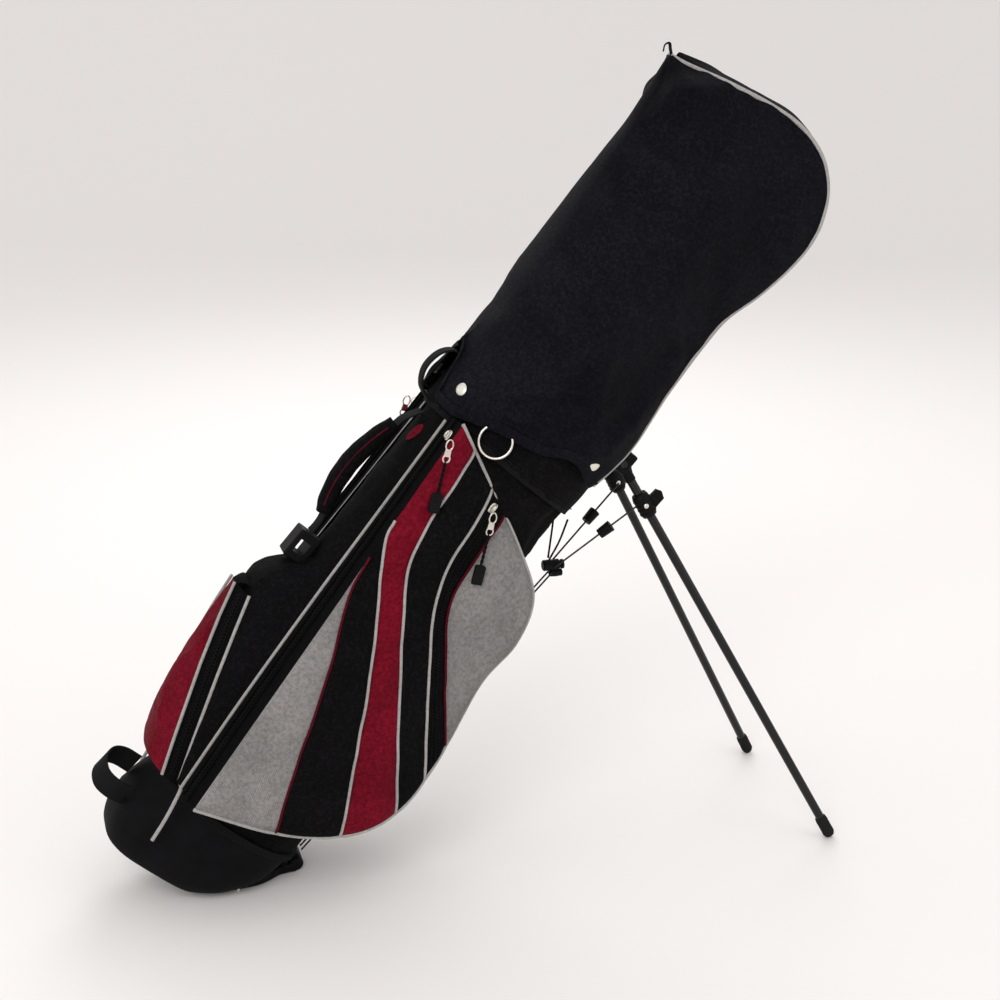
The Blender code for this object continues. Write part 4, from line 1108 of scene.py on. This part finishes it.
def hood_rows():
    """One row of points per step up the hood, from the far piping round the spine to the near piping."""
    spine = even(flat_line(HOOD_SPINE[2:], 10), HOOD_ROWS)
    front = even(flat_line(HOOD_FRONT, 10), HOOD_ROWS)
    shares = [k / (HOOD_COLUMNS - 1) for k in range(HOOD_COLUMNS)]
    shares = [0.35 * t + 0.65 * t * t for t in shares]
    rows = []
    for r in range(HOOD_LOW_ROWS):
        climb = r / HOOD_LOW_ROWS
        sides = {}
        for side in (NEAR, FAR):
            line = []
            for share in shares:
                height = hood_hem(share) + (HOOD_START - hood_hem(share)) * climb
                back = from_table([(s, p) for p, s in HOOD_SPINE], max(height, 0.793))[0]
                line.append(hood_point(share, (back, height), (hood_front_low(height), height), height, side))
            sides[side] = line
        rows.append(sides[FAR][::-1] + sides[NEAR][1:])
    for a, b in zip(spine, front):
        middle = (a.y + b.y) / 2 + 0.4 * abs(a.y - b.y)
        reach = (b - a).length
        sides = {}
        for side in (NEAR, FAR):
            shrink = eased(reach, 0.0, 0.10)
            line = []
            for share in shares:
                point = hood_point(share, a, b, min(middle, 1.31), side)
                line.append(Vector((point.x, point.y * (0.12 + 0.88 * shrink), point.z)))
            sides[side] = line
        rows.append(sides[FAR][::-1] + sides[NEAR][1:])
    return rows


def make_hood():
    rows = hood_rows()
    body = lofted("hood_cloth", rows[::-1], "hood", "hood", ["rain_hood"])
    count = len(rows[0])
    held = []
    for r in range(len(rows)):
        for c in range(count):
            edge = r in (0, len(rows) - 1) or c in (0, count - 1)
            held.append(1.0 if edge else 0.0)
    settled(body, held, 0.05, 0.004, 10, -0.030, 0.15)
    smooth(thickened(body, 0.0016))
    near_edge = [BAG.inverted() @ body.data.vertices[k * count + (count - 1)].co
                 for k in range(len(rows))][::-1]
    far_edge = [BAG.inverted() @ body.data.vertices[k * count].co for k in range(len(rows))][::-1]
    if (near_edge[0] - rows[0][-1]).length > (near_edge[0] - rows[0][0]).length:
        near_edge, far_edge = far_edge, near_edge
    gusset = []
    for k in range(HOOD_LOW_ROWS, len(rows) - 1):
        a, b = near_edge[k], far_edge[k]
        ahead = near_edge[min(k + 1, len(rows) - 1)] - near_edge[k - 1]
        out = Vector((ahead.z, 0.0, -ahead.x)).normalized()
        line = []
        for i in range(17):
            t = i / 16
            puff = math.sin(math.pi * t) * (0.010 + ripple((a.x, t * 0.2, a.z), 0.05, 0.005, 21.0))
            line.append(a.lerp(b, t) + out * puff)
        gusset.append(line)
    strip = lofted("hood_gusset", gusset[::-1], "hood", "hood")
    smooth(thickened(strip, 0.0016))
    for name, edge in (("near", near_edge), ("far", far_edge)):
        piping(f"piping_hood_{name}", edge, "silver", 0.0030, "hood")
    hem = [point + outward_of_tube(point) * 0.0002 for point in rows[0]]
    band = swept("hood_hem", even(hem, 150), soft_box(0.0026, 0.014), False, outward_of_tube(hem[0]))
    piece("hood_hem", band, "hood", "hood")
    above = [point + Vector((0.0, 0.0, 0.011)) + outward_of_tube(point) * 0.0012 for point in rows[0]]
    stitches("hood_hem_stitches", above, outward_of_tube, "thread", "hood")
    front = [gusset[0][i] for i in range(17)]
    run_along("hood_front_hem", "hood", front, soft_box(0.0026, 0.012), False, Vector((1, 0, 0)), body="hood")
    make_hood_loop(rows[-1][count // 2])


def make_hood_loop(tip):
    """The short pull at the hood's highest corner."""
    path = bent([tip + Vector(q) for q in ((0.004, 0.0, 0.0), (-0.004, 0.001, 0.006), (-0.010, 0.002, 0.011),
                                           (-0.013, 0.003, 0.006), (-0.009, 0.003, -0.002))], 6)
    run_along("hood_pull_loop", "webbing", path, soft_box(0.008, 0.0018), body="hood")


def on_cloth(thing, point, outward):
    """The outermost place of a cloth piece on a line through a point of the bag's frame."""
    tree = BVHTree.FromPolygons([vert.co for vert in thing.data.vertices],
                                [face.vertices for face in thing.data.polygons])
    way = (BAG.to_3x3() @ outward).normalized()
    hit = tree.ray_cast(BAG @ point + way * 0.04, -way, 0.08)[0]
    return BAG.inverted() @ hit if hit else point


def make_snaps():
    cloth = bpy.data.objects["hood_cloth"]
    for name in ("spine", "leg"):
        for label in ("near", "far"):
            cap = "snap_cap_" + name + "_" + label
            low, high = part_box(cap)
            centre = BAG.inverted() @ ((low + high) / 2)
            out = outward_of_tube(Vector((centre.x, centre.y, 0.0)))
            centre = on_cloth(cloth, centre, out) + out * 0.0008
            profile = ((-0.0030, 0.0040), (-0.0022, 0.0084), (-0.0012, 0.0092), (0.0000, 0.0090),
                       (0.0013, 0.0078), (0.0022, 0.0056), (0.0026, 0.0030), (0.0027, 0.0008))
            data = turned(cap + "_dome", centre, out, profile)
            piece(cap + "_dome", data, "snap", "hood", [cap])


# ---------------------------------------------------------------- handle, straps and ring
def make_handle():
    line = even(bent([(p, 0.0, s) for p, s in HANDLE_LINE], 8), 48)
    rows = []
    for i, (point, _, side, upper) in enumerate(carried(line)):
        t = i / (len(line) - 1)
        full = 0.62 + 0.38 * math.sin(math.pi * min(max(t, 0.04), 0.96)) ** 0.35
        ring = []
        for k in range(24):
            turn = 2 * math.pi * k / 24
            wide, thick = 0.0140 * full, 0.0132 * full
            crease = ripple((t * 0.2, math.cos(turn) * 0.03, math.sin(turn) * 0.03), 0.02, 0.0009, 15.0)
            a, b = math.cos(turn), math.sin(turn)
            ring.append(point + side * (wide * math.copysign(abs(a) ** 0.8, a))
                        + upper * (thick * b + crease))
        rows.append(ring)
    grip = piece("handle_pad", smooth_caps(sheet_mesh("handle_pad", rows, True, True)), "black", "bag",
                 ["handle_grip"])
    for label, side in PAIR:
        edge = [q + Vector((-0.0052, side * 0.0122, 0.0)) for q in line[3:-3]]
        piping(f"handle_piping_{label}", edge, "dark_red", 0.0010)
    for label, path in (("upper", ((-0.1035, 0.664), (-0.1010, 0.676), (-0.0950, 0.687), (-0.0875, 0.6985))),
                        ("lower", ((-0.1030, 0.514), (-0.1005, 0.502), (-0.1000, 0.492), (-0.1008, 0.4835)))):
        strap("handle_webbing_" + label, path, 0.024, 0.0024, ["handle_strap_" + label])


def smooth_caps(data):
    data.set_sharp_from_angle(angle=math.radians(70.0))
    return data


def strap(name, path, wide, thick, stands_for=(), look="webbing"):
    line = even(bent([(p, 0.0, s) for p, s in path], 8), 28)
    data = swept(name, line, soft_box(wide, thick, 0.0008))
    thing = piece(name, data, look, "bag", stands_for)
    for label, side in PAIR:
        frames = carried(line)
        run = [point + Vector((0.0, side * (wide / 2 - 0.002), 0.0)) + upper * (-thick / 2 - 0.0001)
               for point, _, _, upper in frames]
        stitches(f"{name}_stitches_{label}", run, lambda q: BACK)
    return thing


def make_straps():
    aside = LOOP_BROAD.cross(BACK).normalized()
    away = aside.cross(LOOP_BROAD)
    rows = []
    for point in even(bent([LOOP_AT + away * out + aside * over for out, over in LOOP_PATH], 8), 60):
        flare = away * ripple(tuple(point), 0.03, 0.0020, 31.0)
        out = (point - LOOP_AT - away * 0.018).normalized()
        rows.append([point + flare + LOOP_BROAD * a + out * b for a, b in soft_box(0.036, 0.0030, 0.0010)])
    lofted("base_webbing_loop", rows, "webbing", "bag", ["base_loop"], closed=True, caps=True)
    for k, edge in (("upper", 0.0155), ("lower", -0.0155)):
        run = [sum(row, Vector()) / len(row) + LOOP_BROAD * edge for row in rows]
        run = [q + (q - LOOP_AT - away * 0.018).normalized() * 0.0016 for q in run]
        stitches("base_loop_stitches_" + k, run, lambda q: (q - LOOP_AT).normalized())
    strap("collar_webbing_loop", GRAB_LOOP, 0.020, 0.0028, ["grab_loop"])
    for p, s in ((-0.0855, 0.695), (-0.0870, 0.7145), (-0.0880, 0.7885)):
        corner = Vector((p - 0.0015, 0.0, s))
        cross = [corner + Vector((0.0, y, h)) for y, h in ((-0.009, -0.005), (0.009, -0.005), (0.009, 0.005),
                                                           (-0.009, 0.005))]
        stitches(f"bar_tack_{round(s * 1e4)}", cross + cross[:1], BACK, pitch=0.003, long=0.002)


def collar_frame(turn, height, out):
    back, front, half = TUBE[-1][1:]
    reach, wide = (front - back) / 2 + COLLAR_GROW, half + COLLAR_GROW
    surface = Vector(((back + front) / 2 + reach * math.cos(turn), wide * math.sin(turn), height))
    outward = Vector((math.cos(turn) / reach, math.sin(turn) / wide, 0.0)).normalized()
    hang = (-UP + outward * UP.dot(outward)).normalized()
    return surface + outward * out, outward, hang


def make_towel_ring():
    middle, outward, hang = collar_frame(RING_TURN, RING_HEIGHT, RING_OUT)
    across = hang.cross(outward)
    path = [middle + (hang * math.cos(2 * math.pi * k / 64)
                      + across * math.sin(2 * math.pi * k / 64)) * RING_RADIUS
            for k in range(64)]
    ring = swept("towel_ring_wire", path, circle(RING_WIRE, 12), True, outward)
    piece("towel_ring_wire", ring, "nickel", "towel_ring", ["towel_ring"])
    pivot = middle - hang * RING_RADIUS
    sleeve = [pivot + outward * 0.0044 * math.cos(a) + hang * 0.0046 * math.sin(a)
              for a in [math.radians(k) for k in range(-70, 251, 20)]]
    first, last = pivot - hang * 0.0105 - outward * 0.0046, pivot - hang * 0.010 - outward * 0.0022
    sleeve = [first] + sleeve[::-1] + [last]
    data = swept("towel_ring_sleeve", even(bent(sleeve, 3), 40), soft_box(0.013, 0.0012, 0.0005), False,
                 across)
    piece("towel_ring_sleeve", data, "webbing", "bag", ["towel_ring_tab"])


def make_anchor():
    """The D-shaped strap anchor on the collar beside the spine."""
    at, outward, _ = collar_frame(math.radians(-166.0), 0.742, 0.0006)
    rounds = ((0.0, 0.0122), (0.0018, 0.0125), (0.0030, 0.0118), (0.0036, 0.0100), (0.0032, 0.0085),
              (0.0030, 0.0050), (0.0044, 0.0044), (0.0056, 0.0030), (0.0058, 0.0010))
    spun("anchor_boss", "plastic", at, outward, rounds, stands_for=["strap_anchor"])


# ---------------------------------------------------------------- zip sliders and pulls
def block_rows(centre, across, out, along, stations):
    """Soft-cornered rows for a small moulded piece: stations hold (distance, width, thickness)."""
    rows = []
    for distance, wide, thick in stations:
        middle = centre + along * distance
        rows.append([middle + across * x + out * y for x, y in soft_box(wide, thick, min(wide, thick) * 0.3)])
    return rows


def make_slider(name, body, outward):
    low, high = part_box(name)
    centre = BAG.inverted() @ ((low + high) / 2)
    down = Vector((POCKET_LEFT[1][0] - POCKET_LEFT[0][0], 0.0,
                   POCKET_LEFT[1][1] - POCKET_LEFT[0][1])).normalized()
    if name.startswith("valuables"):
        down = Vector((0.0, 0.0, -1.0))
    out = (outward - down * outward.dot(down)).normalized()
    across = down.cross(out)
    plate = ((-0.0068, 0.0050, 0.0014), (-0.0055, 0.0078, 0.0018), (-0.0010, 0.0092, 0.0018),
             (0.0040, 0.0084, 0.0018), (0.0068, 0.0064, 0.0014))
    rows = block_rows(centre + out * 0.0010, across, out, down, plate)
    lofted(name + "_plate", rows, "nickel", body, [name], closed=True, caps=True)
    arch = bent([centre + down * d + out * h for d, h in ((-0.0058, 0.0018), (-0.0040, 0.0050),
                                                          (0.0000, 0.0062),
                                                         (0.0040, 0.0050), (0.0058, 0.0018))], 5)
    run_along(name + "_bridge", "nickel", arch, soft_box(0.0026, 0.0013), False, across, body=body)


def make_pull(name, body, side):
    """A nickel tab with an open eye, a doubled cord and a ribbed moulded end."""
    out = face_outward(side)
    straight = (out * UP.dot(out) - UP).normalized()
    down = Matrix.Rotation(side * PULL_LEAN, 3, out) @ straight
    across = down.cross(out)
    low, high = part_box(name)
    middle = BAG.inverted() @ ((low + high) / 2)
    top = middle - down * PULL_LENGTH / 2
    eye = []
    for k in range(40):
        turn = 2 * math.pi * k / 40
        wide = 0.0040 + 0.0012 * (1 + math.cos(turn)) / 2
        eye.append(top + down * (0.0068 - 0.0068 * math.cos(turn + math.pi)) + across * wide * math.sin(turn))
    run_along(name + "_eye", "nickel", eye, soft_box(0.0021, 0.0018), True, out, body=body, stands_for=[name])
    stem = ((0.0125, 0.0075, 0.0020), (0.0160, 0.0082, 0.0020), (0.0205, 0.0086, 0.0020),
            (0.0222, 0.0080, 0.0018))
    lofted(name + "_stem", block_rows(top, across, out, down, stem), "nickel", body, closed=True, caps=True)
    fork = bent([top + down * d + across * x for d, x in ((0.0212, -0.0036), (0.0250, -0.0044),
                                                          (0.0285, -0.0026),
                                                        (0.0290, 0.0026), (0.0250, 0.0044),
                                                          (0.0212, 0.0036))], 5)
    run_along(name + "_fork", "nickel", fork, circle(0.0011, 8), False, out, body=body)
    for label, turn_start in (("left", 0.0), ("right", math.pi)):
        strand = []
        for k in range(26):
            t = k / 25
            spin = turn_start + 7.0 * t * math.pi
            strand.append(top + down * (0.0275 + (PULL_LENGTH - 0.0515) * t)
                          + across * 0.0012 * math.cos(spin) + out * 0.0012 * math.sin(spin))
        run_along(f"{name}_cord_{label}", "cord", strand, circle(0.0012, 8), False, out, body=body)
    first = PULL_LENGTH - 0.0260
    stations = [(first, 0.0100, 0.0046), (first + 0.0015, 0.0138, 0.0062)]
    for k in range(6):
        at = first + 0.0040 + 0.0034 * k
        stations += [(at, 0.0156, 0.0068), (at + 0.0012, 0.0142, 0.0058), (at + 0.0022, 0.0142, 0.0058)]
    stations += [(PULL_LENGTH - 0.0015, 0.0150, 0.0064), (PULL_LENGTH - 0.0002, 0.0130, 0.0052)]
    data = sheet_mesh(name + "_end", block_rows(top, across, out, down, stations), True, True)
    piece(name + "_end", data, "plastic", body)


def make_zips():
    for name, side in PAIR:
        make_slider("main_zip_slider_" + name, "main_zip_slider_" + name, Vector((-1.0, 0.35 * side, 0.0)))
        make_pull("main_zip_pull_" + name, "main_zip_pull_" + name, side)
    make_slider("valuables_zip_slider", "valuables_zip_slider", face_outward(NEAR))
    make_pull("valuables_zip_pull", "valuables_zip_pull", NEAR)


# ---------------------------------------------------------------- stand
DRESSED = {
    "plastic": ("leg_bracket_near", "leg_bracket_far", "stand_head", "club_divider", "top_cuff",
                "strap_buckle", "wire_yoke", "wire_clip_near", "wire_clip_far"),
    "wire": ("spring_wire_near", "spring_wire_far", "long_wire_near", "long_wire_far"),
    "nickel": ("leg_pin_near", "leg_pin_far", "foot_lever_pin", "snap_stud_spine_near", "snap_stud_spine_far",
               "snap_stud_leg_near", "snap_stud_leg_far"),
    "alloy": ("stay_rod_near", "stay_rod_far"),
}


def leg_frame(side):
    pivot = Vector((HINGE.x, side * HINGE.y, HINGE.z))
    foot = floor_point(FOOT[0], side * FOOT[1], FOOT[2])
    way = (foot - pivot).normalized()
    axis = way.cross(Vector((0.0, 0.0, -1.0))).normalized()
    return pivot, way, axis, (foot - pivot).length


def make_stand():
    for name, side in PAIR:
        pivot, way, axis, reach = leg_frame(side)
        body = "leg_" + name
        profile = ((-0.0068, 0.0030), (-0.0050, 0.0054), (-0.0015, 0.0062), (0.02, 0.0062), (0.3, 0.0062),
                   (reach - 0.022, 0.0062))
        spun("leg_shaft_" + name, "tube", pivot, way, profile, 36, body=body, stands_for=["leg_" + name])
        end = reach - 0.034
        tip = ((end, 0.0066), (end + 0.0010, 0.0078), (end + 0.0060, 0.0086), (end + 0.0100, 0.0084),
               (end + 0.0110, 0.0080),
               (end + 0.0120, 0.0084), (end + 0.0150, 0.0084), (end + 0.0160, 0.0080), (end + 0.0170, 0.0084),
               (reach - 0.0060, 0.0085), (reach - 0.0018, 0.0065), (reach, 0.0036))
        spun("foot_rubber_" + name, "rubber", pivot, way, tip, 36, body=body, stands_for=["foot_tip_" + name])
        sleeve = ((0.014, 0.0064), (0.0145, 0.0074), (0.030, 0.0074), (0.0305, 0.0064))
        spun("leg_ferrule_" + name, "plastic", pivot, way, sleeve, 32, body=body)
        for label, turn in (("outer", 1.0), ("inner", -1.0)):
            rivet = ((0.0, 0.0034), (0.0008, 0.0034), (0.0016, 0.0026), (0.0019, 0.0010))
            at = pivot + way * BRACKET_AT + axis * turn * 0.0112
            spun(f"bracket_rivet_{name}_{label}", "nickel", at, axis * turn, rivet, 20, body=body)
        for k in range(4):
            at = pivot + way * (BRACKET_AT - 0.010 + 0.0066 * k)
            rows = [[at + way * along + q for q in ring_round(way, radius)]
                    for along, radius in ((0.0, 0.0120), (0.0012, 0.0124), (0.0024, 0.0120))]
            lofted(f"bracket_rib_{name}_{k}", rows, "plastic", body, closed=True)
    dress()
    make_yoke_lump()
    make_lever()
    for name, side in PAIR:
        at = Vector((HINGE.x, side * 0.0613, HINGE.z))
        screw = ((0.0, 0.0050), (0.0010, 0.0052), (0.0018, 0.0044), (0.0019, 0.0020), (0.0012, 0.0010))
        spun("pivot_screw_" + name, "wire", at, (0, side, 0), screw, 20)
    make_elastic()


def ring_round(axis, radius, sides=28):
    turn = Vector(axis).to_track_quat("Z", "Y").to_matrix()
    return [turn @ Vector((radius * math.cos(2 * math.pi * k / sides),
                           radius * math.sin(2 * math.pi * k / sides), 0.0))
            for k in range(sides)]


def dress():
    """Gives the CAD nodes that keep their shape their real materials."""
    for look, parts in DRESSED.items():
        for part in parts:
            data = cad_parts[part].data
            data.materials.clear()
            data.materials.append(MATERIALS[look])


def make_yoke_lump():
    """The knot housing under the yoke."""
    low = YOKE - UP * (YOKE_RADIUS + 0.0042) + AHEAD * 0.004
    profile = ((-0.0095, 0.0030), (-0.0085, 0.0048), (0.0, 0.0054), (0.0085, 0.0048), (0.0095, 0.0030))
    spun("yoke_lump", "plastic", low, AHEAD, profile, 24, body="yoke")


def make_lever():
    """The foot lever: a thin rounded plate and the round heel that the long wires stand on."""
    edge = bent([(x, y) for x, y in ((0.116, 0.050), (0.150, 0.046), (0.172, 0.034), (0.184, 0.026),
                                     (0.205, 0.023))], 5)
    outline = [Vector((q.x, q.y)) for q in edge] + [Vector((q.x, -q.y)) for q in edge[::-1]]
    middle = Vector((0.155, 0.0))
    rows = []
    for z, inset in ((0.0010, 0.0015), (0.0020, 0.0), (0.0115, 0.0), (0.0130, 0.0020)):
        rows.append([floor_point(*(q - (q - middle).normalized() * inset), z) for q in outline])
    data = sheet_mesh("lever_plate", rows, True, True)
    piece("lever_plate", data, "plastic", "foot_lever", ["foot_lever"])
    heel = ((-0.0232, 0.0050), (-0.0222, 0.0084), (-0.0190, 0.0106), (0.0190, 0.0106), (0.0222, 0.0084),
            (0.0232, 0.0050))
    data = turned("lever_heel", floor_point(0.2055, 0.0, 0.0108), (0, 1, 0), heel, 28)
    piece("lever_heel", data, "plastic", "foot_lever")


def make_flash():
    """The small plain crimson flash on the tube beside the handle."""
    rows = []
    for k in range(13):
        t = 2 * k / 12 - 1
        row = []
        for c in range(9):
            u = 2 * c / 8 - 1
            turn = math.radians(189.5 + 5.0 * u * math.sqrt(max(1 - t * t, 0.0)) + 2.5 * t)
            reach = Vector((0.0350 + 0.1192 * math.cos(turn), 0.1062 * math.sin(turn), 0.672 + 0.015 * t))
            row.append(reach)
        rows.append(row)
    lofted("crimson_flash", rows, "red")


def make_elastic():
    """The two elastic cords, which stretch between the collar and the yoke."""
    for name, side, anchor in (("near", NEAR, (0.1560, -0.046, 0.7080)),
                               ("far", FAR, (0.1530, 0.046, 0.7350))):
        start = YOKE + UP * (YOKE_RADIUS + 0.0018) - AHEAD * 0.006 + Vector((0.0, side * 0.003, 0.0))
        end = Vector(anchor)
        sag = start.lerp(end, 0.5) + Vector((0.002, side * 0.001, -0.001))
        path = even(bent([start, sag, end], 8), 40)
        data = swept("elastic_" + name, path, circle(0.0014, 10), False, ACROSS)
        cord = piece("elastic_" + name, data, "cord", None, ["elastic_cord_" + name])
        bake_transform(cord)


# ---------------------------------------------------------------- stage, lights and camera
def make_stage():
    data = bpy.data.meshes.new("studio_floor")
    mesh = bmesh.new()
    rows = []
    for k in range(25):
        t = k / 24
        if t < 0.5:
            y, z = -6.0 + 20.0 * t, 0.0
        else:
            turn = math.pi / 2 * (t - 0.5) / 0.5
            y, z = 4.0 + 4.0 * math.sin(turn), 4.0 - 4.0 * math.cos(turn)
        rows.append([mesh.verts.new((x, y, z - 0.0002)) for x in (-9.0, 9.0)])
    for low, high in zip(rows, rows[1:]):
        mesh.faces.new((low[0], low[1], high[1], high[0]))
    mesh.to_mesh(data)
    mesh.free()
    data.shade_smooth()
    floor = bpy.data.objects.new("studio_floor", data)
    bpy.context.scene.collection.objects.link(floor)
    n = Nodes("studio_paper", 0.9)
    place = n.add("TexCoord")
    tone = n.ramp(n.noise(place.outputs["Object"], 900.0), ((0.3, (0.80, 0.775, 0.765)),
                                                            (0.7, (0.84, 0.815, 0.805))))
    n.link(tone, n.shader.inputs["Base Color"])
    data.materials.append(n.material)


def make_lights():
    world = bpy.data.worlds.new("studio")
    bpy.context.scene.world = world
    world.use_nodes = True
    shade = world.node_tree.nodes["Background"]
    shade.inputs["Color"].default_value = (1.0, 0.985, 0.975, 1.0)
    shade.inputs["Strength"].default_value = 0.88
    for name, place, size, power in (("key", (-1.8, -3.0, 3.0), 2.2, 62.0),
                                     ("fill", (2.6, -2.4, 1.6), 2.4, 9.0),
                                     ("rim", (0.6, 2.4, 2.6), 2.0, 34.0)):
        data = bpy.data.lights.new(name, "AREA")
        data.shape = "DISK"
        data.size = size
        data.energy = power
        light = bpy.data.objects.new(name, data)
        bpy.context.scene.collection.objects.link(light)
        light.location = place
        aim = Vector((0.0, 0.0, 0.5)) - Vector(place)
        light.rotation_euler = aim.to_track_quat("-Z", "Y").to_euler()


def make_camera():
    azimuth, elevation, distance = math.radians(-16.5), math.radians(18.0), 2.35
    back = Vector((math.sin(azimuth) * math.cos(elevation), -math.cos(azimuth) * math.cos(elevation),
                   math.sin(elevation)))
    data = bpy.data.cameras.new("camera")
    data.angle = 2 * math.atan(500.0 / (741.0 * distance))
    camera = bpy.data.objects.new("camera", data)
    bpy.context.scene.collection.objects.link(camera)
    camera.location = Vector((BAG_X + 0.505, 0.0, 0.505)) + back * distance
    camera.rotation_euler = (-back).to_track_quat("-Z", "Y").to_euler()
    bpy.context.scene.camera = camera
    bpy.context.scene.view_settings.view_transform = "Standard"


make_stage()
make_lights()
make_camera()
make_base()
make_tube()
make_collar()
for label, sign in PAIR:
    make_side_pocket(label, sign)
    make_main_gusset(label, sign)
    make_spine_panel(label, sign)
make_ball_pocket()
make_hood()
make_snaps()
make_handle()
make_straps()
make_towel_ring()
make_anchor()
make_flash()
make_zips()
make_stand()
